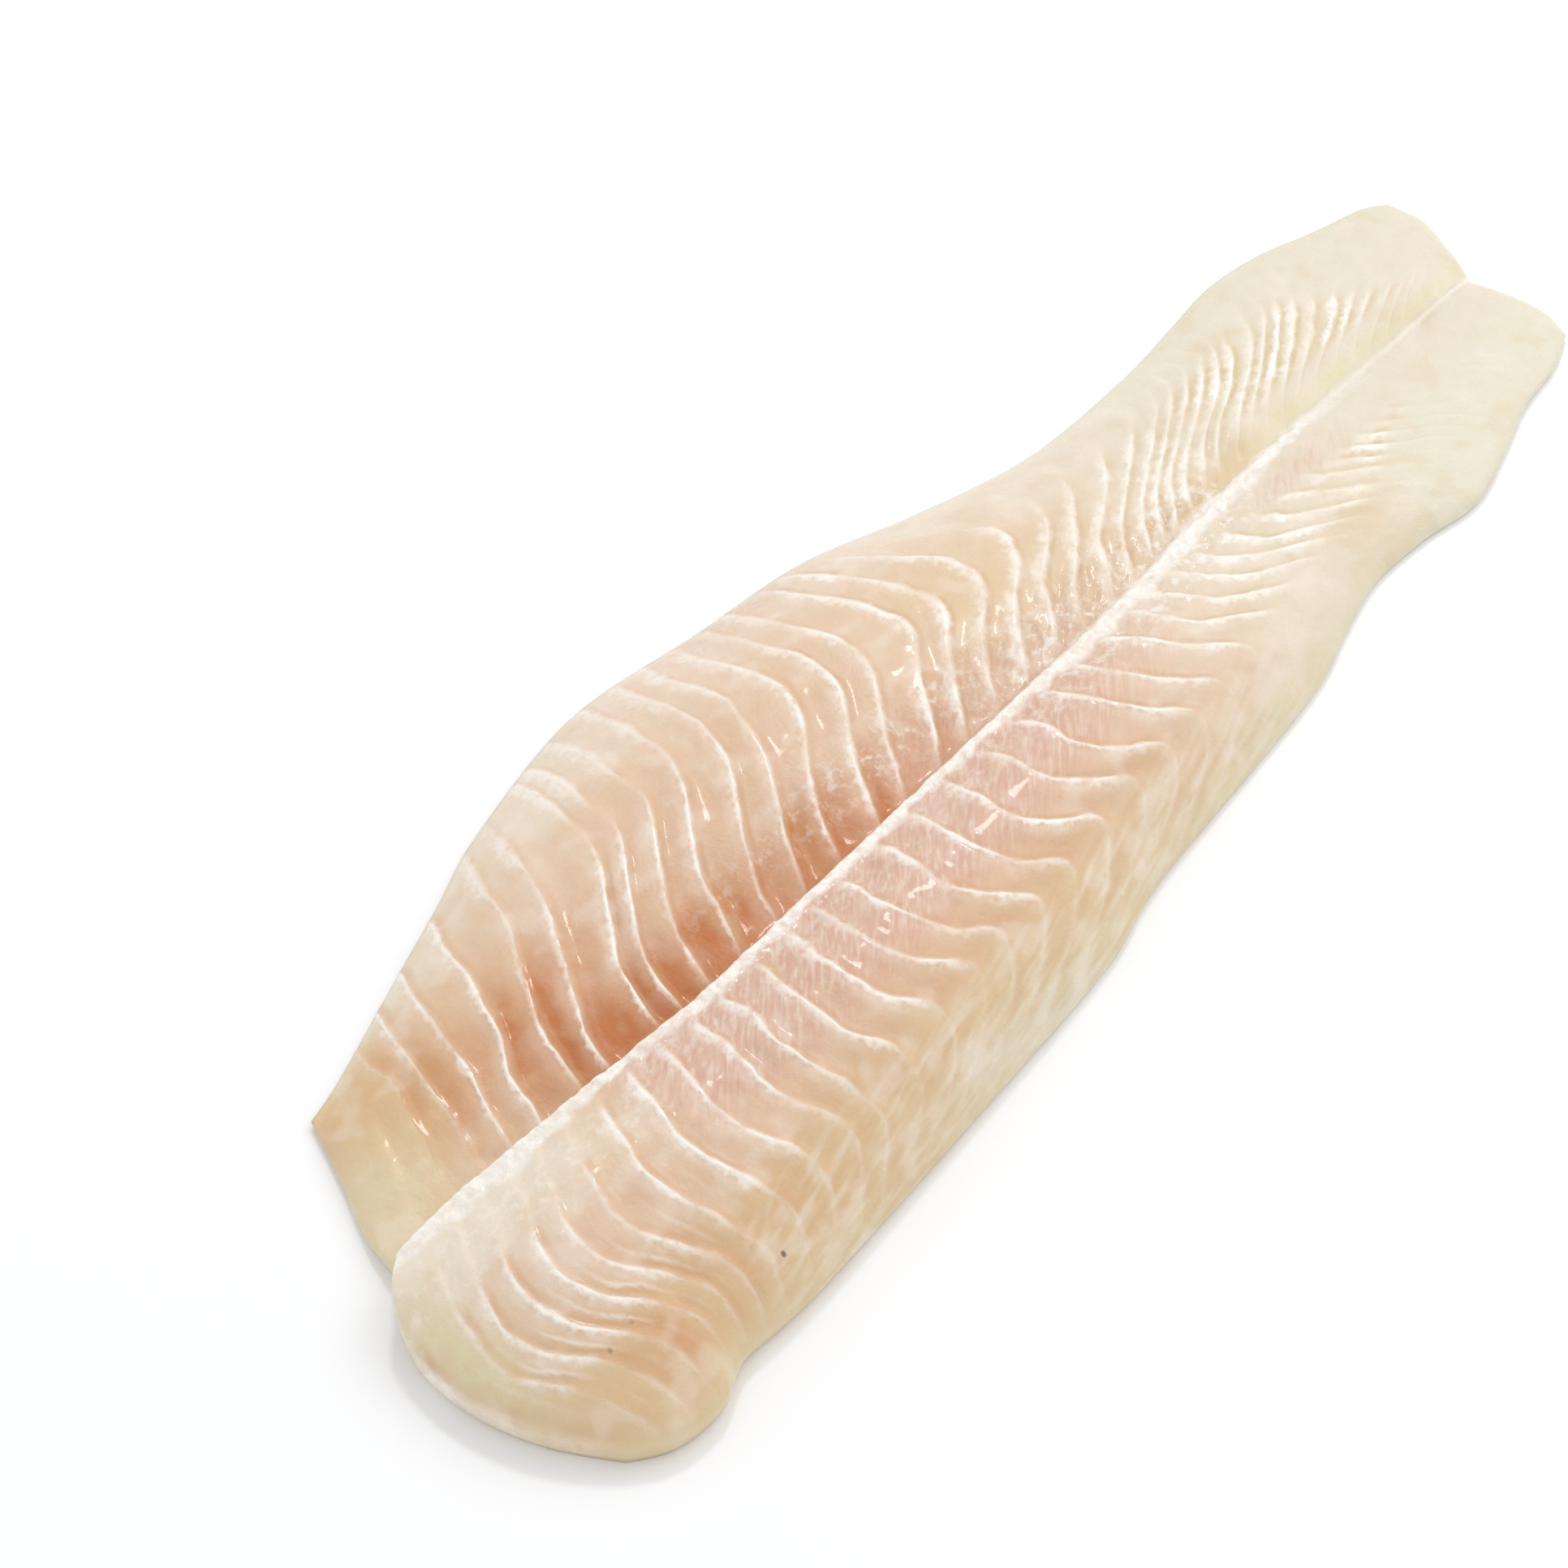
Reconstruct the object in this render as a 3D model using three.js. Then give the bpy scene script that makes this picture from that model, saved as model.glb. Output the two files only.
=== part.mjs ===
// A raw, skinned hake fillet: one whole side of the fish, lying on its skin side with the inner
// side up. Sizes are millimetres. +X runs from the head end to the tail, +Y out to the thin
// belly edge and +Z up. The origin is on the surface the fillet lies on, under the middle of
// its outline.
//
// The line left by the backbone parts the fillet into a thick back half (-Y) and a thinner
// belly half (+Y). A place on either half is given by s, the share of the length from head to
// tail, and t, the share of the width from the backbone line (0) out to the edge (1).
import * as THREE from 'three';

const BACK = -1;
const BELLY = 1;

// ---- Plan ---------------------------------------------------------------------------------

const SPINE_HEAD_X = -139.8;
const SPINE_TAIL_X = 144.5;
const SPINE_LENGTH = SPINE_TAIL_X - SPINE_HEAD_X;
const SPINE_HEAD = [SPINE_HEAD_X, -1.3];
const SPINE_TAIL = [SPINE_TAIL_X, 1];

const SPINE = [
  SPINE_HEAD, [-126, -2.4], [-106, -5.2], [-79, -8], [-53, -8.1],
  [-10, -6.4], [36, -4], [67, -0.6], [102, 0.9], SPINE_TAIL,
];

// Landmarks of the outline. The edges run from head to tail, the ends from the spine outwards.
const BACK_HEAD_CORNER = [-140, -49.5];
const BACK_TAIL_CORNER = [145.6, -19.6];
const BELLY_HEAD_CORNER = [-126.6, 31];
const BELLY_TAIL_CORNER = [150.6, 24.4];

const OUTLINE = {
  [BACK]: {
    edge: [
      BACK_HEAD_CORNER, [-133, -54.2], [-124, -55.1], [-117.5, -52.6], [-113, -51.6], [-97, -52],
      [-56, -49.2], [-19, -46.1], [2, -41.4], [48, -36.5], [65, -31.9], [77, -29.1], [90, -29.5],
      [103, -31.4], [115, -28.4], [127, -24.4], [138, -22.7], BACK_TAIL_CORNER,
    ],
    head: [
      SPINE_HEAD, [-145.4, -5.6], [-149.9, -15.2], [-150.1, -26.5], [-146.8, -38], BACK_HEAD_CORNER,
    ],
    tail: [SPINE_TAIL, [145.9, -3.5], [147.2, -9], [147.4, -14.5], BACK_TAIL_CORNER],
  },
  [BELLY]: {
    edge: [
      BELLY_HEAD_CORNER, [-118, 33.2], [-101, 39], [-82.5, 45.2], [-67, 50.6], [-38, 55.7],
      [-10, 52], [14, 48.8], [36, 41], [59, 34.7], [84, 33.8], [100, 35.1], [112, 36.2],
      [124, 34.5], [136, 30.4], [146, 27.4], BELLY_TAIL_CORNER,
    ],
    head: [SPINE_HEAD, [-137.2, 8.5], [-132, 19], BELLY_HEAD_CORNER],
    tail: [SPINE_TAIL, [146.6, 4.5], [149.4, 11], [151.4, 17], BELLY_TAIL_CORNER],
  },
};

// The curve of an end dies out over this share of the length.
const HEAD_CURVE_REACH = 0.28;
const TAIL_CURVE_REACH = 0.2;

// ---- Thickness ----------------------------------------------------------------------------

// x, thickness of the back half at its crown, and along the spine's ridge
const BACK_THICKNESS = [
  [-150, 15, 9], [-125, 19, 13.5], [-95, 22, 18], [-60, 22.5, 19], [-20, 20, 17],
  [20, 16.5, 13.5], [60, 11, 9], [90, 7.2, 6.2], [120, 4.6, 4.2], [150, 3.2, 3],
];
// x, thickness of the belly half at its crown, and in the groove beside the ridge
const BELLY_THICKNESS = [
  [-150, 5, 5], [-125, 6.5, 6], [-100, 10.5, 9.5], [-60, 15, 11.5], [-20, 16, 11.5],
  [20, 14, 11], [60, 9.6, 8.4], [90, 7, 6], [120, 4.6, 4.1], [150, 3.2, 3],
];
// x, thickness of the back half's rim, and of the end on the ridge and in the groove
const RIMS = [
  [-150, 5.5, 10.5, 4], [-136, 5.2, 10.3, 3.8], [-120, 4.4, 4, 3], [-60, 2.4, 2, 2],
  [0, 1.6, 1.6, 1.6], [150, 1.3, 1.4, 1.4],
];
const BELLY_RIM = 1.4;
const RIM_BLEND = 0.4;            // share of the width in which an end's rim takes on its own height

const BACK_CROWN_AT = 0.34;
const BELLY_CROWN_AT = 0.42;
const FALL_POWER = 2.2;
const BACK_FALL_ROOT = 0.75;
const BELLY_FALL_ROOT = 0.9;
const RIDGE_WALL = 0.055;         // share of the belly half that the ridge's wall takes
const CORD_RISE = 0.7;            // the white cord of connective tissue along the ridge
const CORD_HALF_WIDTH = 0.035;
const HEAD_ROUND_BACK = 24;       // length over which an end rounds down to its rim
const HEAD_ROUND_SPINE = 10;
const HEAD_ROUND_BELLY = 14;
const HEAD_ROUND_BLEND = 0.3;     // share of the width from the spine's rounding to a half's own
const TAIL_ROUND = 6;
const CURVE_STEPS = 800;          // steps in which a curve's length is measured

// ---- Muscle blocks ------------------------------------------------------------------------

// x where each of the thin walls that part two muscle blocks leaves the spine
const WALLS = {
  [BACK]: [
    -139.8, -134.5, -129, -123.5, -118, -112.5, -107, -101, -94, -87, -80, -74, -66, -58, -51.5,
    -44.5, -34.5, -25.5, -16, -7, 2, 11, 19, 27, 35, 41.5, 48, 54.5, 61, 68, 75, 81.5, 87, 91.5,
    96, 100, 104, 108, 112, 116, 120, 125, 130, 135, 140, 144.5,
  ],
  [BELLY]: [
    -139.8, -134, -127, -120, -113.5, -107, -98, -92, -81, -76, -70, -63, -54, -47, -38, -28, -21,
    -12, -5, 4, 12, 20, 28, 36, 42.5, 48.5, 52.5, 57, 62, 67, 71, 77, 81, 85.5, 90, 94.5, 99.5,
    104.5, 109.5, 114.5, 119.5, 124.5, 129.5, 134.5, 139.5, 144.5,
  ],
};
const COLUMNS_PER_BLOCK = 3;

// How a wall runs outwards: x where it leaves the spine, and how far towards the tail it has
// gone at 1/7, 2/7 ... 7/7 of the way to the edge.
const WALL_PATH = {
  [BACK]: [
    [-141, -5, -8, -8.8, -8, -6, -3, 1], [-130, -4, -8, -10.8, -10.6, -6, -2, 0],
    [-113, -3.6, -7.6, -10.6, -10.3, -5.2, -1, -1], [-101, -2, -4.2, -6.4, -6.8, -3.6, -1, -3],
    [-87, -1.4, -3.2, -4.5, -4.2, -1.2, 0, -5], [-74, -0.7, -2, -2.6, -2, 1, 1.6, -6],
    [-60, -0.4, -2, -2.4, -1, 4, 3, -8], [-44.5, 0.2, -0.4, 0.6, 4.6, 11, 6, -8],
    [-25.5, 0, -0.5, 0.4, 3.6, 10, 4, -12], [-7, 0.4, 0.4, 1.8, 6, 13.5, 9, -10],
    [11, 0.6, 1.6, 3.8, 8.2, 14.5, 11.5, -4], [27, 1.2, 3.2, 6.3, 11.8, 17.5, 15.5, 3],
    [48, 1.3, 3.2, 7.1, 15, 22, 22.5, 17], [67, 0.2, 1.6, 5.8, 14, 22, 24, 22],
    [90, 0.2, 2, 7.2, 13.7, 18.5, 20.5, 20], [120, 0.5, 3, 7, 11, 13, 13.5, 13],
    [144.5, 0.9, 1.6, 2.2, 2.5, 2.2, 1.5, 0.5],
  ],
  [BELLY]: [
    [-141, 1.5, 3.2, 5, 7.5, 10, 12.2, 14.4], [-128, 2, 4.6, 7.4, 10, 12, 13, 15],
    [-118, 2.2, 4.4, 6.6, 8.4, 10, 12, 15], [-107, 1.4, 4.2, 8.2, 10.8, 13.8, 16.7, 21],
    [-98, 1.2, 3.8, 7.6, 12, 17, 21, 26], [-88, 0.8, 4, 10, 16.5, 19.8, 22.6, 26.5],
    [-76, 0.3, 3.6, 10.8, 18.2, 20.4, 22, 24.5], [-64, 2.4, 7.4, 14.8, 20.8, 22.6, 24.2, 26],
    [-47, 4, 10, 17, 20.4, 20.8, 21.5, 25], [-26, 3.6, 9.8, 16.8, 18.4, 17, 16, 17],
    [-8, 5, 11.2, 18.4, 18, 16, 14.6, 14], [4, 4.4, 10.8, 18.9, 20, 15.5, 12, 10],
    [16, 4.6, 11, 19.8, 24, 22.5, 18, 15], [28, 4.3, 10.2, 17.2, 23, 26, 24.8, 22],
    [50, 3.8, 9.6, 18.6, 26.6, 31.5, 32.5, 32], [85, 4.3, 12, 20.5, 27.5, 31, 32, 32],
    [98, 5.2, 14.5, 22, 26.5, 28, 28, 28], [112, 6, 15, 21, 23.5, 24, 23.5, 23],
    [144.5, 1.5, 3.2, 4.5, 5.4, 5.8, 5.5, 5],
  ],
};
const WALL_FIT_ROUNDS = 4;        // rounds of finding the share of the length a wall has reached
const ENDS_REACH = 5;             // the walls turn into the ends' curves over this distance

// Low relief: each wall stands up, and the flesh drops right behind it on the tail side.
const DROP_SHARE = 0.28;
const DROP_DEPTH = 1.6;
// x, relief of the back half, relief of the belly half
const BLOCK_RELIEF = [
  [-150, 0.2, 0.1], [-110, 0.4, 0.35], [-50, 0.45, 0.55], [40, 0.4, 0.4], [100, 0.15, 0.2],
  [150, 0, 0],
];
// Shares of the width in which the relief starts, ends, and is deeper beside the ridge's groove
const RELIEF_STARTS = [0.03, 0.12];
const RELIEF_ENDS = [0.7, 0.95];
const GROOVE_ENDS = [0.15, 0.45];
const GROOVE_RELIEF = 0.5;        // how much deeper, as a share
// Slow swells of the whole surface
const SWELL = 0.45;
const SWELL_WAVE_X = 19;
const SWELL_WAVE_Y = 13;
const SWELL_STARTS = [0.05, 0.25];
const SWELL_ENDS = [0.7, 1];

// Rows from the spine to the edge, closer at the ridge and near the edge.
const ROW_SHARES = [0, 0.035, 0.08, 0.15, 0.24, 0.34, 0.44, 0.54, 0.64, 0.74, 0.83, 0.91, 0.97, 1];

// The side of the fillet stands upright, then turns in under it to a flat underside.
const UNDERCUT_HEIGHT = 0.5;      // both as shares of the rim's thickness
const UNDERCUT_INSET = 0.5;
const UNDERCUT_MOST = 1.2;
// Columns at each end that a fan of faces closes, and how many columns in its middle lies.
const HEAD_FAN = { columns: 10, middle: 9 };
const TAIL_FAN = { columns: 24, middle: 4 };

const FLESH_COLOUR = 0xe6cfb2;
const FLESH_ROUGHNESS = 0.38;

// ---- Helpers ------------------------------------------------------------------------------

const clamp = THREE.MathUtils.clamp;
const smooth = (from, to, value) => THREE.MathUtils.smoothstep(value, from, to);

// Values of a table of stations at x, along a smooth curve that never overshoots a station.
function stationValues(stations, x) {
  const last = stations.length - 1;
  const at = clamp(x, stations[0][0], stations[last][0]);
  let i = 0;
  while (i < last - 1 && at >= stations[i + 1][0]) {
    i += 1;
  }
  const span = stations[i + 1][0] - stations[i][0];
  const u = (at - stations[i][0]) / span;
  return stations[i].slice(1).map((start, column) => {
    const end = stations[i + 1][column + 1];
    const startSlope = stationSlope(stations, i, column + 1) * span;
    const endSlope = stationSlope(stations, i + 1, column + 1) * span;
    return THREE.MathUtils.lerp(start, end, u * u * (3 - 2 * u))
      + startSlope * u * (1 - u) ** 2 - endSlope * u * u * (1 - u);
  });
}

// Slope of the curve at a station: none at a peak or a dip, else the harmonic mean.
function stationSlope(stations, i, column) {
  const step = (a, b) => {
    const rise = stations[b][column] - stations[a][column];
    return rise / (stations[b][0] - stations[a][0]);
  };
  if (i === 0) {
    return step(0, 1);
  }
  if (i === stations.length - 1) {
    return step(i - 1, i);
  }
  const before = step(i - 1, i);
  const after = step(i, i + 1);
  if (before * after <= 0) {
    return 0;
  }
  const spanBefore = stations[i][0] - stations[i - 1][0];
  const spanAfter = stations[i + 1][0] - stations[i][0];
  const weightBefore = 2 * spanAfter + spanBefore;
  const weightAfter = spanAfter + 2 * spanBefore;
  return (weightBefore + weightAfter) / (weightBefore / before + weightAfter / after);
}

function smoothCurve(points) {
  const curve = new THREE.SplineCurve(points.map(([x, y]) => new THREE.Vector2(x, y)));
  curve.arcLengthDivisions = CURVE_STEPS;
  return curve;
}

// Value at w, 0 to 1, between start and end on a smooth curve through four values.
function catmullRom(before, start, end, after, w) {
  const startSlope = (end - before) / 2;
  const endSlope = (after - start) / 2;
  return (2 * start - 2 * end + startSlope + endSlope) * w ** 3
    + (3 * end - 3 * start - 2 * startSlope - endSlope) * w ** 2 + startSlope * w + start;
}

// Share of the full height left at a distance from an end that rounds down over a length.
function roundedEnd(distance, length) {
  const u = clamp(distance / length, 0, 1);
  return Math.sqrt(1 - (1 - u) ** 2);
}

// ---- Shape of the fillet ------------------------------------------------------------------

const spineCurve = smoothCurve(SPINE);
const outlineCurves = (outline) => Object.fromEntries(
  Object.entries(outline).map(([name, points]) => [name, smoothCurve(points)]),
);
const curves = {
  [BACK]: outlineCurves(OUTLINE[BACK]),
  [BELLY]: outlineCurves(OUTLINE[BELLY]),
};

// Plan position: lines ruled from the spine to the edge, pulled onto the curved ends.
function planPoint(side, s, t) {
  const { edge, head, tail } = curves[side];
  const point = spineCurve.getPointAt(s).lerp(edge.getPointAt(s), t);
  const headPull = clamp(1 - s / HEAD_CURVE_REACH, 0, 1) ** 2;
  const tailPull = clamp(1 - (1 - s) / TAIL_CURVE_REACH, 0, 1) ** 2;
  const headChord = spineCurve.getPoint(0).lerp(edge.getPoint(0), t);
  const tailChord = spineCurve.getPoint(1).lerp(edge.getPoint(1), t);
  point.addScaledVector(head.getPointAt(t).sub(headChord), headPull);
  point.addScaledVector(tail.getPointAt(t).sub(tailChord), tailPull);
  return point;
}

// Shift towards the tail, in mm, of a muscle wall that leaves the spine at x.
function wallShift(side, x, t) {
  const knots = [0, ...stationValues(WALL_PATH[side], x)];
  const last = knots.length - 1;
  const i = Math.min(Math.floor(t * last), last - 1);
  const knot = (k) => knots[clamp(k, 0, last)];
  return catmullRom(knot(i - 1), knot(i), knot(i + 1), knot(i + 2), t * last - i);
}

// Share of the length reached by the wall that leaves the spine at x, once it is t of the way out.
function wallShare(side, x, t) {
  const own = (x - SPINE_HEAD_X) / SPINE_LENGTH;
  const goal = x + wallShift(side, x, t);
  let share = own;
  for (let round = 0; round < WALL_FIT_ROUNDS; round += 1) {
    share = clamp(share + (goal - planPoint(side, share, t).x) / SPINE_LENGTH, 0, 1);
  }
  const reach = ENDS_REACH / SPINE_LENGTH;
  return THREE.MathUtils.lerp(own, share, smooth(0, reach, own) * smooth(0, reach, 1 - own));
}

// How far x lies past a wall of this half, as a share of the muscle block.
function blockPhase(side, x) {
  const walls = WALLS[side];
  const next = walls.findIndex((wall) => wall > x);
  return next < 1 ? 0 : (x - walls[next - 1]) / (walls[next] - walls[next - 1]);
}

// Thickness of the rim that the flesh thins out to.
function rimThickness(side, x, t) {
  const [backRim, ridgeRim, grooveRim] = stationValues(RIMS, x);
  if (side === BACK) {
    return THREE.MathUtils.lerp(ridgeRim, backRim, smooth(0, RIM_BLEND, t));
  }
  const flap = THREE.MathUtils.lerp(grooveRim, BELLY_RIM, smooth(0, RIM_BLEND, t));
  return THREE.MathUtils.lerp(ridgeRim, flap, smooth(0, RIDGE_WALL, t));
}

// Thickness of the loin half: up from the ridge to the crown, then round and down to the rim.
function backThickness(x, t, rim) {
  const [crown, ridge] = stationValues(BACK_THICKNESS, x);
  const cord = CORD_RISE * Math.exp(-((t / CORD_HALF_WIDTH) ** 2));
  if (t < BACK_CROWN_AT) {
    return THREE.MathUtils.lerp(ridge, crown, smooth(0, BACK_CROWN_AT, t)) + cord;
  }
  const out = (t - BACK_CROWN_AT) / (1 - BACK_CROWN_AT);
  return rim + (crown - rim) * (1 - out ** FALL_POWER) ** BACK_FALL_ROOT;
}

// Thickness of the belly half: down the ridge's wall into the groove, up to a crown, then out.
function bellyThickness(x, t, rim) {
  const [crown, groove] = stationValues(BELLY_THICKNESS, x);
  const ridge = stationValues(BACK_THICKNESS, x)[1] + CORD_RISE;
  const out = clamp((t - BELLY_CROWN_AT) / (1 - BELLY_CROWN_AT), 0, 1);
  const flesh = t < BELLY_CROWN_AT
    ? THREE.MathUtils.lerp(groove, crown, smooth(0, BELLY_CROWN_AT, t))
    : rim + (crown - rim) * (1 - out ** FALL_POWER) ** BELLY_FALL_ROOT;
  return THREE.MathUtils.lerp(ridge, flesh, smooth(0, RIDGE_WALL, t));
}

// Height of the muscle relief: highest at a wall (phase 0), lowest just past it.
function blockRelief(side, x, t, phase) {
  const [back, belly] = stationValues(BLOCK_RELIEF, x);
  const fade = smooth(...RELIEF_STARTS, t) * (1 - smooth(...RELIEF_ENDS, t));
  const groove = side === BELLY ? 1 + GROOVE_RELIEF * (1 - smooth(...GROOVE_ENDS, t)) : 1;
  const depth = (side === BACK ? back : belly) * fade * groove;
  return depth * (1 - DROP_DEPTH * (smooth(0, DROP_SHARE, phase) - smooth(DROP_SHARE, 1, phase)));
}

function surfaceHeight(side, s, t, point, phase) {
  const x = point.x;
  const rim = rimThickness(side, x, t);
  const flesh = side === BACK ? backThickness(x, t, rim) : bellyThickness(x, t, rim);
  const waves = Math.sin(x / SWELL_WAVE_X + 1) * Math.cos(point.y / SWELL_WAVE_Y);
  const swell = SWELL * waves * smooth(...SWELL_STARTS, t) * (1 - smooth(...SWELL_ENDS, t));
  const headRound = THREE.MathUtils.lerp(
    HEAD_ROUND_SPINE,
    side === BACK ? HEAD_ROUND_BACK : HEAD_ROUND_BELLY,
    smooth(0, HEAD_ROUND_BLEND, t),
  );
  const headEnd = roundedEnd(s * SPINE_LENGTH, headRound);
  const ends = headEnd * roundedEnd((1 - s) * SPINE_LENGTH, TAIL_ROUND);
  return rim + (flesh + swell + blockRelief(side, x, t, phase) - rim) * ends;
}

// ---- Mesh ---------------------------------------------------------------------------------

// x where the columns of the mesh leave the spine: each wall of the back half, and in between.
function meshColumns() {
  const walls = WALLS[BACK];
  const between = walls.slice(1).flatMap((wall, i) => Array.from(
    { length: COLUMNS_PER_BLOCK },
    (_, part) => THREE.MathUtils.lerp(walls[i], wall, (part + 1) / COLUMNS_PER_BLOCK),
  ));
  return [walls[0], ...between];
}

// Grid of one half's top, from the spine outwards, as rows of points.
function halfTop(side, columns) {
  return ROW_SHARES.map((t) => columns.map((x) => {
    const s = wallShare(side, x, t);
    const point = planPoint(side, s, t);
    return new THREE.Vector3(point.x, point.y, surfaceHeight(side, s, t, point, blockPhase(side, x)));
  }));
}

// Rim of the whole top, counter-clockwise seen from above, as indices into the point list.
function rimLoop(backRows, bellyRows) {
  const end = backRows[0].length - 1;
  const across = (from, to, column) => [
    ...from.map((row) => row[column]).reverse(), ...to.slice(1).map((row) => row[column]),
  ];
  const headEnd = across(bellyRows, backRows, 0);
  const tailEnd = across(backRows, bellyRows, end);
  const backEdge = backRows.at(-1).slice(1, end);
  const bellyEdge = bellyRows.at(-1).slice(1, end).reverse();
  return [...headEnd, ...backEdge, ...tailEnd, ...bellyEdge];
}

// Outward direction in plan at each point of a counter-clockwise loop.
function outwardNormals(loop) {
  return loop.map((point, i) => {
    const before = loop.at(i - 1);
    const after = loop[(i + 1) % loop.length];
    return new THREE.Vector2(after.y - before.y, before.x - after.x).normalize();
  });
}

// Flat underside: straight bands across from one edge to the other, and a fan at each end.
// The loop of foot points starts at the belly half's head corner, as the rim's does.
function soleFaces(foot, columns, points, store) {
  const rows = ROW_SHARES.length - 1;
  const last = columns.length - 1;
  const backFoot = (i) => foot[2 * rows + i];
  const bellyFoot = (i) => foot[(4 * rows + 2 * last - i) % foot.length];
  const faces = [];
  for (let i = HEAD_FAN.columns; i < last - TAIL_FAN.columns; i += 1) {
    faces.push([backFoot(i), bellyFoot(i), bellyFoot(i + 1)]);
    faces.push([backFoot(i), bellyFoot(i + 1), backFoot(i + 1)]);
  }
  const fan = (loop, column) => {
    const middle = spineCurve.getPointAt((columns[column] - SPINE_HEAD_X) / SPINE_LENGTH);
    const hub = store(new THREE.Vector3(middle.x, middle.y, 0));
    loop.forEach((index, i) => faces.push([hub, loop[(i + 1) % loop.length], index]));
  };
  const headStart = foot.length - HEAD_FAN.columns;
  const headLoop = [...foot.slice(headStart), ...foot.slice(0, 2 * rows + HEAD_FAN.columns + 1)];
  const tailStart = 2 * rows + last - TAIL_FAN.columns;
  const tailLoop = foot.slice(tailStart, tailStart + 2 * (rows + TAIL_FAN.columns) + 1);
  fan(headLoop, HEAD_FAN.middle);
  fan(tailLoop, last - TAIL_FAN.middle);
  return faces;
}

function filletGeometry() {
  const columns = meshColumns();
  const points = [];
  const faces = [];
  const store = (point) => points.push(point) - 1;
  const quad = (a, b, c, d) => faces.push([a, b, c], [a, c, d]);

  const backRows = halfTop(BACK, columns).map((row) => row.map(store));
  const bellyTop = halfTop(BELLY, columns).slice(1).map((row) => row.map(store));
  const bellyRows = [backRows[0], ...bellyTop];
  for (let row = 1; row < ROW_SHARES.length; row += 1) {
    for (let i = 1; i < columns.length; i += 1) {
      quad(backRows[row][i - 1], backRows[row][i], backRows[row - 1][i], backRows[row - 1][i - 1]);
      quad(bellyRows[row - 1][i - 1], bellyRows[row - 1][i], bellyRows[row][i], bellyRows[row][i - 1]);
    }
  }

  const rim = rimLoop(backRows, bellyRows);
  const rimPoints = rim.map((index) => points[index]);
  const normals = outwardNormals(rimPoints);
  const waist = rimPoints.map(({ x, y, z }) => store(new THREE.Vector3(x, y, z * UNDERCUT_HEIGHT)));
  const foot = rimPoints.map(({ x, y, z }, i) => {
    const inset = Math.min(z * UNDERCUT_INSET, UNDERCUT_MOST);
    return store(new THREE.Vector3(x - normals[i].x * inset, y - normals[i].y * inset, 0));
  });
  rim.forEach((_, i) => {
    const next = (i + 1) % rim.length;
    quad(waist[i], waist[next], rim[next], rim[i]);
    quad(foot[i], foot[next], waist[next], waist[i]);
  });
  faces.push(...soleFaces(foot, columns, points, store));

  const geometry = new THREE.BufferGeometry();
  const places = points.flatMap((point) => point.toArray());
  geometry.setAttribute('position', new THREE.Float32BufferAttribute(places, 3));
  geometry.setIndex(faces.flat());
  return geometry;
}

// Moves a geometry so that its box stands on z = 0 with the middle of its plan at the origin.
function standAtOrigin(geometry) {
  geometry.computeBoundingBox();
  const { min, max } = geometry.boundingBox;
  geometry.translate(-(min.x + max.x) / 2, -(min.y + max.y) / 2, -min.z);
  return geometry;
}

function makeFillet() {
  const geometry = standAtOrigin(filletGeometry());
  geometry.computeVertexNormals();
  const material = new THREE.MeshStandardMaterial({
    color: FLESH_COLOUR,
    roughness: FLESH_ROUGHNESS,
    metalness: 0,
  });
  const fillet = new THREE.Mesh(geometry, material);
  fillet.name = 'fillet';
  return fillet;
}

const hakeFillet = new THREE.Group();
hakeFillet.add(makeFillet());

export default hakeFillet;
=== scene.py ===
"""Dresses a raw, skinned hake fillet that lies on its skin side, inner side up.

The fillet is one piece of flesh. The line left by the backbone parts it into a thick back half
(-Y) and a thin belly half (+Y). A place on a half is given by s, the share of the length from
the head end to the tail, and t, the share of the width from the backbone line out to the edge.
Shapes are worked out in millimetres and fitted to the frame's solid, in metres.
"""
import logging
import math
from dataclasses import dataclass, field
from enum import Enum
from typing import Any, NamedTuple

import bpy
import numpy as np
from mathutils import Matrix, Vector


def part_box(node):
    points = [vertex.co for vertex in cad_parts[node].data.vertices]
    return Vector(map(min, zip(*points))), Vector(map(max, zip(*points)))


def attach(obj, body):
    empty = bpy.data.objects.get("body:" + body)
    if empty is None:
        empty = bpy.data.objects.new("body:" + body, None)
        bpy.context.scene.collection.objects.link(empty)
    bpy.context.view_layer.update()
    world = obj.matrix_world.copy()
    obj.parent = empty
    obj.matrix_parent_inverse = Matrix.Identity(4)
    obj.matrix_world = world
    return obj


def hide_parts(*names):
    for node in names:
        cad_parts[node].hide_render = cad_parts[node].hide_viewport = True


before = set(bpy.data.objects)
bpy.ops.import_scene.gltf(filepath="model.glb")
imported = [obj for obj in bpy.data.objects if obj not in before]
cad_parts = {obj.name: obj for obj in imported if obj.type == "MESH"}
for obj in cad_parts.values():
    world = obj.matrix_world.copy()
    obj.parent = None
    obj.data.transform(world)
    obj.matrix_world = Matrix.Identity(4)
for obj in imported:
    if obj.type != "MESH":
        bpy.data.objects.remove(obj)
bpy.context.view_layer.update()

LOG = logging.getLogger("hake_fillet")
NODE = "fillet"
MM = 0.001

Array = np.ndarray
Rows = tuple[tuple[float, ...], ...]
Socket = bpy.types.NodeSocket


class Half(Enum):
    """The two halves of a fillet, on either side of the backbone line."""

    BACK = -1
    BELLY = 1


# ---- Curves and noise ------------------------------------------------------------------------


def smooth(start: float | Array, end: float | Array, value: Array) -> Array:
    """Rises smoothly from 0 at start to 1 at end.

    Args:
        start: Value below which the result is 0.
        end: Value above which the result is 1.
        value: Values to map.

    Returns:
        The mapped values, from 0 to 1.
    """
    share = np.clip((value - start) / (end - start), 0.0, 1.0)
    return share * share * (3.0 - 2.0 * share)


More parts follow.
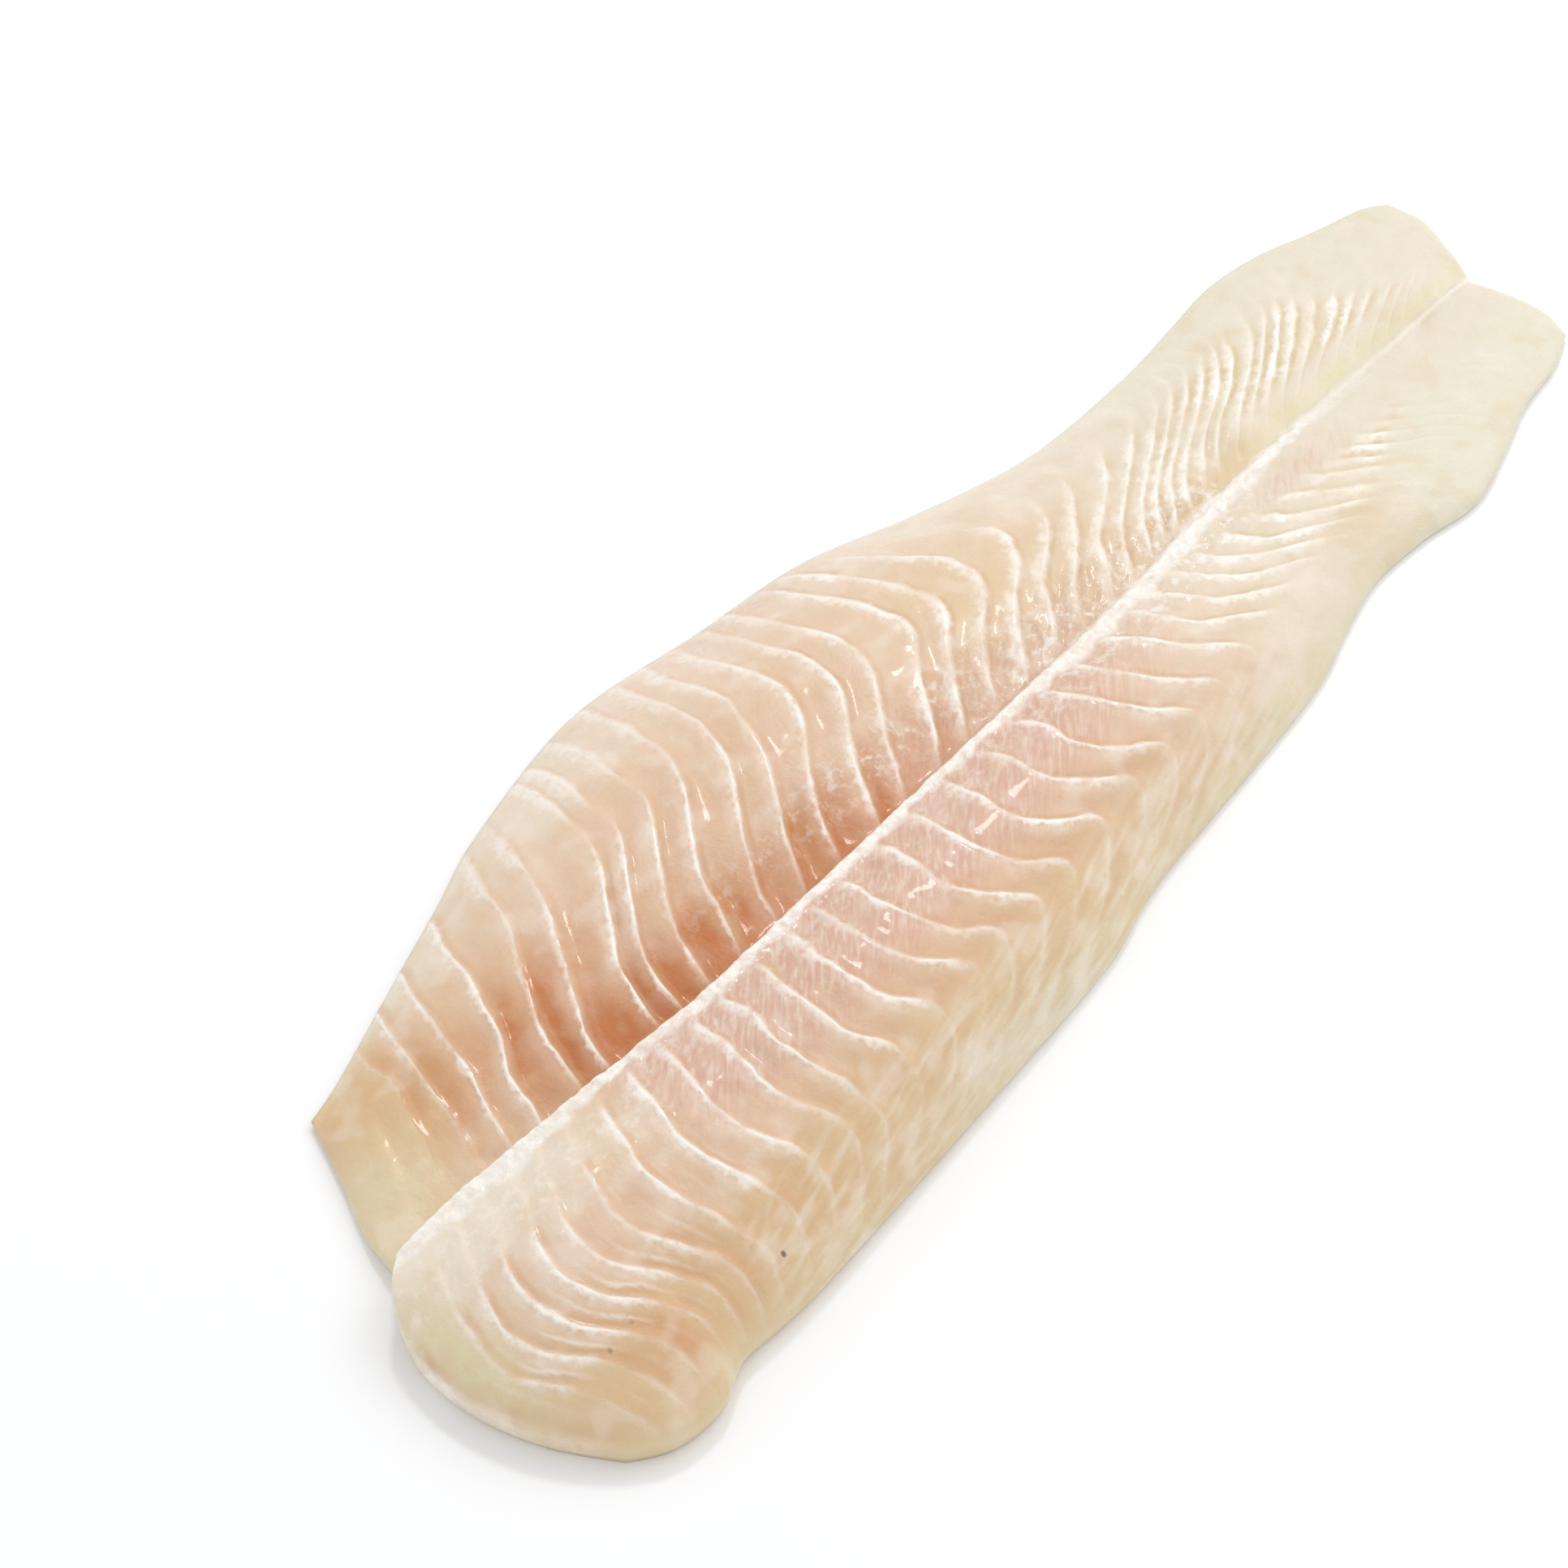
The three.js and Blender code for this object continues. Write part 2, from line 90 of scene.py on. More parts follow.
def fall(start: float | Array, end: float | Array, value: Array) -> Array:
    """Falls smoothly from 1 at start to 0 at end."""
    return 1 - smooth(start, end, value)


def blend(start: Array | float, end: Array | float, share: Array) -> Array:
    """Mixes two values: all start at share 0, all end at share 1."""
    return start + (end - start) * share


def spot(x: Array, y: Array, centre: tuple[float, float], reach: tuple[float, float]) -> Array:
    """Strength of a soft oval patch.

    Args:
        x: Places along the fillet, in mm.
        y: Places across the fillet, in mm.
        centre: Middle of the patch, in mm.
        reach: Distance from the middle, along and across, at which a third of it is left.

    Returns:
        1 in the middle, falling off to 0.
    """
    return np.exp(-((x - centre[0]) / reach[0]) ** 2 - ((y - centre[1]) / reach[1]) ** 2)


def through(before: Array, start: Array, end: Array, after: Array, share: Array) -> Array:
    """Cubic that passes through start and end as the points before and after them ask.

    Args:
        before: Point before the start.
        start: Point at share 0.
        end: Point at share 1.
        after: Point after the end.
        share: How far from start to end.

    Returns:
        The point there.
    """
    start_slope, end_slope = (end - before) / 2, (after - start) / 2
    cubic = (2 * start - 2 * end + start_slope + end_slope) * share**3
    square = (3 * end - 3 * start - 2 * start_slope - end_slope) * share**2
    return cubic + square + start_slope * share + start


@dataclass(frozen=True)
class Stations:
    """Values at a few places along the fillet, joined by a curve that never overshoots them."""

    rows: Rows

    def at(self, x: Array) -> list[Array]:
        """Reads every column of values at the places x.

        Args:
            x: Places along the fillet, in mm.

        Returns:
            One array for each column after the first, which holds the stations' places.
        """
        table = np.array(self.rows, float)
        places = table[:, 0]
        inside = np.clip(x, places[0], places[-1])
        i = np.clip(np.searchsorted(places, inside, side="right") - 1, 0, len(places) - 2)
        span = np.diff(places)
        u = (inside - places[i]) / span[i]
        read = []
        for values in table[:, 1:].T:
            slope = self._slopes(span, values)
            start = values[i] * (1 + 2 * u) * (1 - u) ** 2 + slope[i] * span[i] * u * (1 - u) ** 2
            end = values[i + 1] * u * u * (3 - 2 * u) - slope[i + 1] * span[i] * u * u * (1 - u)
            read.append(start + end)
        return read

    @staticmethod
    def _slopes(span: Array, values: Array) -> Array:
        """Slope at each station: none at a peak or dip, else the weighted harmonic mean.

        Args:
            span: Distance from each station to the next, in mm.
            values: Value at each station.

        Returns:
            Slopes, per mm.
        """
        step = np.diff(values) / span
        slope = np.zeros_like(values)
        slope[0], slope[-1] = step[0], step[-1]
        before, after = step[:-1], step[1:]
        same = before * after > 0
        weight_before = 2 * span[1:] + span[:-1]
        weight_after = span[1:] + 2 * span[:-1]
        safe_before = np.where(same, before, 1.0)
        safe_after = np.where(same, after, 1.0)
        mean = (weight_before + weight_after) / (weight_before / safe_before + weight_after / safe_after)
        slope[1:-1] = np.where(same, mean, 0.0)
        return slope


class PlanCurve:
    """A smooth curve through landmarks of the plan, read by the share of its length."""

    SAMPLES = 801

    def __init__(self, points: Rows) -> None:
        """Works out the curve once.

        Args:
            points: Landmarks (x, y) in mm, in order.
        """
        marks = np.array(points, float)
        last = len(marks) - 1
        place = np.linspace(0.0, last, self.SAMPLES)
        i = np.minimum(place.astype(int), last - 1)
        near = (marks[np.clip(i + k, 0, last)] for k in (-1, 0, 1, 2))
        self.line = through(*near, (place - i)[:, None])
        steps = np.linalg.norm(np.diff(self.line, axis=0), axis=1)
        self.share = np.concatenate([[0.0], np.cumsum(steps)]) / steps.sum()

    def at(self, share: Array) -> Array:
        """Points (..., 2) at the given shares of the curve's length."""
        return np.stack([np.interp(share, self.share, self.line[:, axis]) for axis in (0, 1)], axis=-1)


class SoftNoise:
    """Smooth random hills between -1 and 1, the same in every run."""

    SIZE = 64

    def __init__(self, seed: int) -> None:
        """Draws the grid of heights.

        Args:
            seed: Seed of the draw.
        """
        self.grid = np.random.default_rng(seed).uniform(-1.0, 1.0, (self.SIZE, self.SIZE))

    def at(self, x: Array, y: Array, hill: float) -> Array:
        """Reads the noise.

        Args:
            x: Places along, in mm.
            y: Places across, in mm.
            hill: Width of a hill, in mm.

        Returns:
            Heights between -1 and 1.
        """
        u, v = x / hill, y / hill
        i, j = np.floor(u).astype(int), np.floor(v).astype(int)
        fu, fv = smooth(0, 1, u - i), smooth(0, 1, v - j)
        corner = [self.grid[(i + a) % self.SIZE, (j + b) % self.SIZE] for a in (0, 1) for b in (0, 1)]
        return blend(blend(corner[0], corner[1], fv), blend(corner[2], corner[3], fv), fu)


# ---- Form of the fillet ----------------------------------------------------------------------


@dataclass(frozen=True)
class Outline:
    """Landmarks of one half's outline, in mm: its edge, and its ends from the spine outwards."""

    edge: Rows
    head: Rows
    tail: Rows


SPINE_HEAD = (-139.8, -1.3)
SPINE_TAIL = (144.5, 1.0)
SPINE_LENGTH = SPINE_TAIL[0] - SPINE_HEAD[0]
# About the width of a half, and how far apart two draws from one noise are read, in mm.
HALF_WIDTH = 50
APART = 200
TINY = 1e-6

BACK_OUTLINE = Outline(
    edge=(
        (-140, -49.5), (-133, -54.2), (-124, -55.1), (-117.5, -52.6), (-113, -51.6), (-97, -52),
        (-56, -49.2), (-19, -46.1), (2, -41.4), (48, -36.5), (65, -31.9), (77, -29.1),
        (90, -29.5), (103, -31.4), (115, -28.4), (127, -24.4), (138, -22.7), (145.6, -19.6),
    ),
    head=(SPINE_HEAD, (-145.4, -5.6), (-149.9, -15.2), (-150.1, -26.5), (-146.8, -38), (-140, -49.5)),
    tail=(SPINE_TAIL, (145.9, -3.5), (147.2, -9), (147.4, -14.5), (145.6, -19.6)),
)
BELLY_OUTLINE = Outline(
    edge=(
        (-126.6, 31), (-118, 33.2), (-101, 39), (-82.5, 45.2), (-67, 50.6), (-38, 55.7),
        (-10, 52), (14, 48.8), (36, 41), (59, 34.7), (84, 33.8), (100, 35.1), (112, 36.2),
        (124, 34.5), (136, 30.4), (146, 27.4), (150.6, 24.4),
    ),
    head=(SPINE_HEAD, (-137.2, 8.5), (-132, 19), (-126.6, 31)),
    tail=(SPINE_TAIL, (146.6, 4.5), (149.4, 11), (151.4, 17), (150.6, 24.4)),
)


@dataclass
class FilletPlan:
    """The fillet seen from above.

    Attributes:
        spine: Landmarks of the backbone line, in mm.
        head_reach: Share of the length over which the head end's curve dies out.
        tail_reach: Share of the length over which the tail end's curve dies out.
    """

    spine: Rows = (
        SPINE_HEAD, (-126, -2.4), (-106, -5.2), (-79, -8), (-53, -8.1), (-10, -6.4),
        (36, -4), (67, -0.6), (102, 0.9), SPINE_TAIL,
    )
    head_reach: float = 0.28
    tail_reach: float = 0.2

    def __post_init__(self) -> None:
        """Works out the curves."""
        self.spine_curve = PlanCurve(self.spine)
        outlines = {Half.BACK: BACK_OUTLINE, Half.BELLY: BELLY_OUTLINE}
        self.curves = {
            half: {name: PlanCurve(getattr(outline, name)) for name in ("edge", "head", "tail")}
            for half, outline in outlines.items()
        }

    def place(self, half: Half, s: Array, t: Array) -> Array:
        """Plan position, in mm: ruled from the spine to the edge, pulled onto the curved ends.

        Args:
            half: Half of the fillet.
            s: Share of the length.
            t: Share of the width.

        Returns:
            Points (..., 2).
        """
        out = t[..., None]
        curve = self.curves[half]
        zero, one = np.zeros_like(t), np.ones_like(t)
        point = blend(self.spine_curve.at(s), curve["edge"].at(s), out)
        head_chord = blend(self.spine_curve.at(zero), curve["edge"].at(zero), out)
        tail_chord = blend(self.spine_curve.at(one), curve["edge"].at(one), out)
        head_pull = np.clip(1 - s / self.head_reach, 0, 1)[..., None] ** 2
        tail_pull = np.clip(1 - (1 - s) / self.tail_reach, 0, 1)[..., None] ** 2
        head_bulge = (curve["head"].at(t) - head_chord) * head_pull
        tail_bulge = (curve["tail"].at(t) - tail_chord) * tail_pull
        return point + head_bulge + tail_bulge


@dataclass
class MuscleBlocks:
    """The muscle blocks across the fillet and the thin white walls between them.

    Attributes:
        plan: The fillet seen from above.
        walls: For each half, x where its walls leave the spine, in mm.
        paths: For each half, x of such a place, and how far towards the tail a wall that starts
            there has gone at 1/7, 2/7 ... 7/7 of the way out, in mm.
        strays: How far a real wall strays from that path, and the width of such a stray, in mm.
        stray_start: Share of the width over which it starts to stray.
        end_reach: Distance from the ends over which the walls turn into the ends' curves, in mm.
        rounds: Rounds in which a wall's place is worked out.
        least_pitch: Least distance between two walls that is told apart, in mm.
        most_pitch: The most, likewise.
    """

    FINE = 2001

    plan: FilletPlan
    walls: dict[Half, tuple[float, ...]] = field(default_factory=lambda: {
        Half.BACK: (
            -139.8, -134.5, -129, -123.5, -118, -112.5, -107, -101, -94, -87, -80, -74, -66, -58,
            -51.5, -44.5, -34.5, -25.5, -16, -7, 2, 11, 19, 27, 35, 41.5, 48, 54.5, 61, 68, 75,
            81.5, 87, 91.5, 96, 100, 104, 108, 112, 116, 120, 125, 130, 135, 140, 144.5,
        ),
        Half.BELLY: (
            -139.8, -134, -127, -120, -113.5, -107, -98, -92, -81, -76, -70, -63, -54, -47, -38,
            -28, -21, -12, -5, 4, 12, 20, 28, 36, 42.5, 48.5, 52.5, 57, 62, 67, 71, 77, 81, 85.5,
            90, 94.5, 99.5, 104.5, 109.5, 114.5, 119.5, 124.5, 129.5, 134.5, 139.5, 144.5,
        ),
    })
    paths: dict[Half, Stations] = field(default_factory=lambda: {
        Half.BACK: Stations((
            (-141, -5, -8, -8.8, -8, -6, -3, 1), (-130, -4, -8, -10.8, -10.6, -6, -2, 0),
            (-113, -3.6, -7.6, -10.6, -10.3, -5.2, -1, -1), (-101, -2, -4.2, -6.4, -6.8, -3.6, -1, -3),
            (-87, -1.4, -3.2, -4.5, -4.2, -1.2, 0, -5), (-74, -0.7, -2, -2.6, -2, 1, 1.6, -6),
            (-60, -0.4, -2, -2.4, -1, 4, 3, -8), (-44.5, 0.2, -0.4, 0.6, 4.6, 11, 6, -8),
            (-25.5, 0, -0.5, 0.4, 3.6, 10, 4, -12), (-7, 0.4, 0.4, 1.8, 6, 13.5, 9, -10),
            (11, 0.6, 1.6, 3.8, 8.2, 14.5, 11.5, -4), (27, 1.2, 3.2, 6.3, 11.8, 17.5, 15.5, 3),
            (48, 1.3, 3.2, 7.1, 15, 22, 22.5, 17), (67, 0.2, 1.6, 5.8, 14, 22, 24, 22),
            (90, 0.2, 2, 7.2, 13.7, 18.5, 20.5, 20), (120, 0.5, 3, 7, 11, 13, 13.5, 13),
            (144.5, 0.9, 1.6, 2.2, 2.5, 2.2, 1.5, 0.5),
        )),
        Half.BELLY: Stations((
            (-141, 1.5, 3.2, 5, 7.5, 10, 12.2, 14.4), (-128, 2, 4.6, 7.4, 10, 12, 13, 15),
            (-118, 2.2, 4.4, 6.6, 8.4, 10, 12, 15), (-107, 1.4, 4.2, 8.2, 10.8, 13.8, 16.7, 21),
            (-98, 1.2, 3.8, 7.6, 12, 17, 21, 26), (-88, 0.8, 4, 10, 16.5, 19.8, 22.6, 26.5),
            (-76, 0.3, 3.6, 10.8, 18.2, 20.4, 22, 24.5), (-64, 2.4, 7.4, 14.8, 20.8, 22.6, 24.2, 26),
            (-47, 4, 10, 17, 20.4, 20.8, 21.5, 25), (-26, 3.6, 9.8, 16.8, 18.4, 17, 16, 17),
            (-8, 5, 11.2, 18.4, 18, 16, 14.6, 14), (4, 4.4, 10.8, 18.9, 20, 15.5, 12, 10),
            (16, 4.6, 11, 19.8, 24, 22.5, 18, 15), (28, 4.3, 10.2, 17.2, 23, 26, 24.8, 22),
            (50, 3.8, 9.6, 18.6, 26.6, 31.5, 32.5, 32), (85, 4.3, 12, 20.5, 27.5, 31, 32, 32),
            (98, 5.2, 14.5, 22, 26.5, 28, 28, 28), (112, 6, 15, 21, 23.5, 24, 23.5, 23),
            (144.5, 1.5, 3.2, 4.5, 5.4, 5.8, 5.5, 5),
        )),
    })
    strays: Rows = ((0.9, 9.0), (0.28, 3.4))
    stray_start: float = 0.15
    end_reach: float = 5.0
    rounds: int = 4
    least_pitch: float = 1.0
    most_pitch: float = 12.0

    def __post_init__(self) -> None:
        """Draws the strays."""
        self.noise = SoftNoise(seed=3)

    def phase(self, half: Half, x: Array) -> Array:
        """Count of walls passed along the spine: whole at a wall, and in between in a block."""
        places = self.walls[half]
        return np.interp(x, places, np.arange(len(places)))

    def columns(self, number: int) -> Array:
        """Places along the spine, about evenly many in each block.

        Args:
            number: Number of places.

        Returns:
            x of each place, in mm.
        """
        fine = np.linspace(SPINE_HEAD[0], SPINE_TAIL[0], self.FINE)
        count = self.phase(Half.BACK, fine) + self.phase(Half.BELLY, fine)
        return np.interp(np.linspace(count[0], count[-1], number), count, fine)

    def shift(self, half: Half, x: Array, t: Array) -> Array:
        """How far towards the tail a wall has gone on its way out.

        Args:
            half: Half of the fillet.
            x: Places where walls leave the spine, in mm.
            t: Share of the width.

        Returns:
            Distance in mm.
        """
        steps = self.paths[half].at(x)
        knots = np.stack([np.zeros_like(x), *steps])
        last = len(steps)
        u = np.clip(t, 0, 1) * last
        i = np.minimum(u.astype(int), last - 1)
        near = (
            np.take_along_axis(knots, np.clip(i + k, 0, last)[None], axis=0)[0] for k in (-1, 0, 1, 2)
        )
        return through(*near, u - i)

    def wall_share(self, half: Half, x: Array, t: Array) -> Array:
        """Share of the length reached by the wall that leaves the spine at x, t of the way out.

        Args:
            half: Half of the fillet.
            x: Places where walls leave the spine, in mm.
            t: Share of the width.

        Returns:
            Share of the length there.
        """
        own = (x - SPINE_HEAD[0]) / SPINE_LENGTH
        across = half.value * t * HALF_WIDTH + APART
        stray = sum(reach * self.noise.at(x, across, hill) for reach, hill in self.strays)
        goal = x + self.shift(half, x, t) + stray * smooth(0, self.stray_start, t)
        share = own
        for _ in range(self.rounds):
            share = share + (goal - self.plan.place(half, share, t)[..., 0]) / SPINE_LENGTH
            share = np.clip(share, 0, 1)
        reach = self.end_reach / SPINE_LENGTH
        return blend(own, share, smooth(0, reach, own) * smooth(0, reach, 1 - own))

    def pitch(self, plan: Array, phase: Array) -> Array:
        """Distance from one wall to the next, square to them.

        Args:
            plan: Plan positions (columns, rows, 2) of a half's grid, in mm.
            phase: Count of walls passed at each place of the grid.

        Returns:
            Distance in mm at each place of the grid.
        """
        along, across = np.gradient(plan, axis=0), np.gradient(plan, axis=1)
        area = np.abs(along[..., 0] * across[..., 1] - along[..., 1] * across[..., 0])
        width = area / np.maximum(np.linalg.norm(across, axis=-1), TINY)
        pitch = width / np.maximum(np.gradient(phase, axis=0), TINY)
        return np.clip(pitch, self.least_pitch, self.most_pitch)


@dataclass
class FilletThickness:
    """How thick the flesh is, in mm.

    The numbers in the methods below are shares of the width over which a form comes and goes.

    Attributes:
        back: x, thickness at the back half's crown, and along the ridge by the spine.
        belly: x, thickness at the belly half's crown, and in the groove by the ridge.
        rims: x, thickness of the back half's rim, and of the end on the ridge and in the groove.
        relief: x, relief of the muscle blocks in the back half and in the belly half.
        belly_rim: Thickness of the belly half's rim.
        back_crown_at, belly_crown_at: Share of the width at which each half is thickest.
        fall_power, back_fall_root, belly_fall_root: How roundly it falls off from there.
        ridge_wall: Share of the belly's width that the ridge's steep wall takes up.
        cord_rise, cord_half_width: Height of the cord on the ridge, and its share of the width.
        crest_rise: Height of the cord's ragged crest.
        head_round_back, head_round_spine, head_round_belly, tail_round: Length of the round ends.
        drop_share, drop_depth: Share of a block over which it drops behind its wall, and how far.
        block_hill: Width of the patches in which blocks stand out more or less.
        groove_relief: How much more they do so in the groove.
        swell, swell_wave: Height of the slow swells, and their lengths along and across.
        dimple, dimple_hill: Depth and width of the dimples.
        wall_rise, wall_half_width: Height and half width of the ridge that each wall forms.
        grain_rise, grain_hill: Height and width of torn grains.
    """

    back: Stations = Stations((
        (-150, 15, 9), (-125, 19, 13.5), (-95, 22, 18), (-60, 22.5, 19), (-20, 20, 17),
        (20, 16.5, 13.5), (60, 11, 9), (90, 7.2, 6.2), (120, 4.6, 4.2), (150, 3.2, 3),
    ))
    belly: Stations = Stations((
        (-150, 5, 5), (-125, 6.5, 6), (-100, 10.5, 9.5), (-60, 15, 11.5), (-20, 16, 11.5),
        (20, 14, 11), (60, 9.6, 8.4), (90, 7, 6), (120, 4.6, 4.1), (150, 3.2, 3),
    ))
    rims: Stations = Stations((
        (-150, 5.5, 10.5, 4), (-136, 5.2, 10.3, 3.8), (-120, 4.4, 4, 3), (-60, 2.4, 2, 2),
        (0, 1.6, 1.6, 1.6), (150, 1.3, 1.4, 1.4),
    ))
    relief: Stations = Stations((
        (-150, 0.2, 0.1), (-110, 0.4, 0.35), (-50, 0.45, 0.55), (40, 0.4, 0.4),
        (100, 0.15, 0.2), (150, 0, 0),
    ))
    belly_rim: float = 1.4
    back_crown_at: float = 0.34
    belly_crown_at: float = 0.42
    fall_power: float = 2.2
    back_fall_root: float = 0.75
    belly_fall_root: float = 0.9
    ridge_wall: float = 0.055
    cord_rise: float = 0.7
    cord_half_width: float = 0.035
    crest_rise: float = 0.35
    head_round_back: float = 24.0
    head_round_spine: float = 10.0
    head_round_belly: float = 14.0
    tail_round: float = 6.0
    drop_share: float = 0.28
    drop_depth: float = 1.6
    block_hill: float = 8.0
    groove_relief: float = 0.5
    swell: float = 0.45
    swell_wave: tuple[float, float] = (19.0, 13.0)
    dimple: float = 0.14
    dimple_hill: float = 2.6
    wall_rise: float = 0.32
    wall_half_width: float = 0.5
    grain_rise: float = 0.22
    grain_hill: float = 1.3

    def __post_init__(self) -> None:
        """Draws the dimples and grains."""
        self.noise = SoftNoise(seed=11)

    def rim(self, half: Half, x: Array, t: Array) -> Array:
        """Thickness of the rim that the flesh thins out to.

        Args:
            half: Half of the fillet.
            x: Places along the fillet, in mm.
            t: Share of the width.

        Returns:
            Thickness in mm.
        """
        back_rim, ridge_rim, groove_rim = self.rims.at(x)
        if half is Half.BACK:
            return blend(ridge_rim, back_rim, smooth(0, 0.4, t))
        flap = blend(groove_rim, self.belly_rim, smooth(0, 0.4, t))
        return blend(ridge_rim, flap, smooth(0, self.ridge_wall, t))

    def flesh(self, half: Half, x: Array, t: Array, rim: Array) -> Array:
        """Thickness of the bare form, without relief and away from the ends.

        Args:
            half: Half of the fillet.
            x: Places along the fillet, in mm.
            t: Share of the width.
            rim: Thickness of the rim, in mm.

        Returns:
            Thickness in mm.
        """
        back_crown, ridge = self.back.at(x)
        cord = self.cord_rise * np.exp(-((t / self.cord_half_width) ** 2))
        if half is Half.BACK:
            out = np.clip((t - self.back_crown_at) / (1 - self.back_crown_at), 0, 1)
            inner = blend(ridge, back_crown, smooth(0, self.back_crown_at, t)) + cord
            outer = rim + (back_crown - rim) * (1 - out**self.fall_power) ** self.back_fall_root
            return np.where(t < self.back_crown_at, inner, outer)
        crown, groove = self.belly.at(x)
        out = np.clip((t - self.belly_crown_at) / (1 - self.belly_crown_at), 0, 1)
        inner = blend(groove, crown, smooth(0, self.belly_crown_at, t))
        outer = rim + (crown - rim) * (1 - out**self.fall_power) ** self.belly_fall_root
        flesh = np.where(t < self.belly_crown_at, inner, outer)
        return blend(ridge + self.cord_rise, flesh, smooth(0, self.ridge_wall, t))

    def blocks(self, half: Half, x: Array, t: Array, phase: Array) -> Array:
        """Relief of the muscle blocks: up at each wall, and down right behind it.

        Args:
            half: Half of the fillet.
            x: Places along the fillet, in mm.
            t: Share of the width.
            phase: Count of muscle blocks.

        Returns:
            Heights in mm.
        """
        back, belly = self.relief.at(x)
        fade = smooth(0.03, 0.12, t) * fall(0.7, 0.95, t)
        deeper = 1.0
        if half is Half.BELLY:
            deeper = 1 + self.groove_relief * fall(0.15, 0.45, t)
        fraction = phase % 1.0
        dropped = smooth(0, self.drop_share, fraction)
        climbed = smooth(self.drop_share, 1, fraction)
        across = half.value * t * HALF_WIDTH + 1.5 * APART
        uneven = blend(0.35, 1.1, smooth(-0.6, 0.6, self.noise.at(x, across, self.block_hill)))
        depth = (back if half is Half.BACK else belly) * fade * deeper * uneven
        return depth * (1 + self.drop_depth * (climbed - dropped))

    def fine(self, plan: Array, phase: Array, pitch: Array, zones: dict[str, Array]) -> Array:
        """Fine relief: each wall stands proud as a thin ridge, and torn flesh is rough.

        Args:
            plan: Plan positions (..., 2), in mm.
            phase: Count of muscle blocks.
            pitch: Distance from one wall to the next, in mm.
            zones: For each zone, its strength.

        Returns:
            Heights in mm.
        """
        x, y = plan[..., 0], plan[..., 1]
        fraction = phase % 1.0
        from_wall = np.minimum(fraction, 1 - fraction) * pitch
        rise = self.wall_rise * blend(1.0, 0.25, smooth(30, 80, x)) * zones["walls"]
        ridges = rise * np.exp(-((from_wall / self.wall_half_width) ** 2))
        coarse, finer = self.grain_hill, 0.6 * self.grain_hill
        grains = self.noise.at(x, y, coarse) + self.noise.at(x + 2 * APART, y, finer)
        crest = self.crest_rise * self.noise.at(x + APART, y, 2.6 * self.grain_hill) * zones["cord"]
        return ridges + crest + self.grain_rise * grains * np.maximum(zones["grain"], zones["cord"])

    def at(self, half: Half, s: Array, t: Array, plan: Array, phase: Array) -> Array:
        """Height of the top surface without its fine relief, in mm.

        Args:
            half: Half of the fillet.
            s: Share of the length.
            t: Share of the width.
            plan: Plan positions (..., 2), in mm.
            phase: Count of muscle blocks.

        Returns:
            Heights in mm.
        """
        x, y = plan[..., 0], plan[..., 1]
        rim = self.rim(half, x, t)
        inland = smooth(0.05, 0.25, t) * fall(0.7, 1, t)
        waves = np.sin(x / self.swell_wave[0] + 1) * np.cos(y / self.swell_wave[1])
        dimples = self.dimple * self.noise.at(x, y, self.dimple_hill) * fall(0.8, 1, t)
        height = self.flesh(half, x, t, rim) + self.swell * waves * inland + dimples
        height = height + self.blocks(half, x, t, phase)
        own_round = self.head_round_back if half is Half.BACK else self.head_round_belly
        head_round = blend(self.head_round_spine, own_round, smooth(0, 0.3, t))
        from_head = np.clip(s * SPINE_LENGTH / head_round, 0, 1)
        from_tail = np.clip((1 - s) * SPINE_LENGTH / self.tail_round, 0, 1)
        ends = np.sqrt(1 - (1 - from_head) ** 2) * np.sqrt(1 - (1 - from_tail) ** 2)
        return rim + (height - rim) * ends


# ---- Finish ----------------------------------------------------------------------------------


def linear_colour(code: str) -> tuple[float, float, float, float]:
    """Turns an sRGB hex colour to the linear colour that sockets hold.

    Args:
        code: Six hex digits.

    Returns:
        Linear red, green, blue and alpha.
    """
    channels = [int(code[i:i + 2], 16) / 255 for i in (0, 2, 4)]
    linear = [c / 12.92 if c <= 0.04045 else ((c + 0.055) / 1.055) ** 2.4 for c in channels]
    return (linear[0], linear[1], linear[2], 1.0)


def add_node(tree: bpy.types.NodeTree, kind: str, inputs: dict[int | str, Any] | None = None,
             out: int | str = 0, **settings: Any) -> Socket | None:
    """Adds a node with its settings, values and links.

    Args:
        tree: Node tree that the node joins.
        kind: Blender's name of the node type, after its "ShaderNode".
        inputs: For each input, by name or number, a value or the socket that feeds it.
        out: Name or number of the output asked for.
        settings: Properties of the node.

    Returns:
        That output, or None where the node has no outputs.
    """
    node = tree.nodes.new("ShaderNode" + kind)
    for name, value in settings.items():
        setattr(node, name, value)
    for name, value in (inputs or {}).items():
        if isinstance(value, Socket):
            tree.links.new(value, node.inputs[name])
        else:
            node.inputs[name].default_value = value
    return node.outputs[out] if node.outputs else None


class Pattern(NamedTuple):
    """Noise, about 0.3 to 0.7: width of its patches in mm, detail, and direction if drawn out."""

    size: float
    detail: float
    degrees: float | None = None


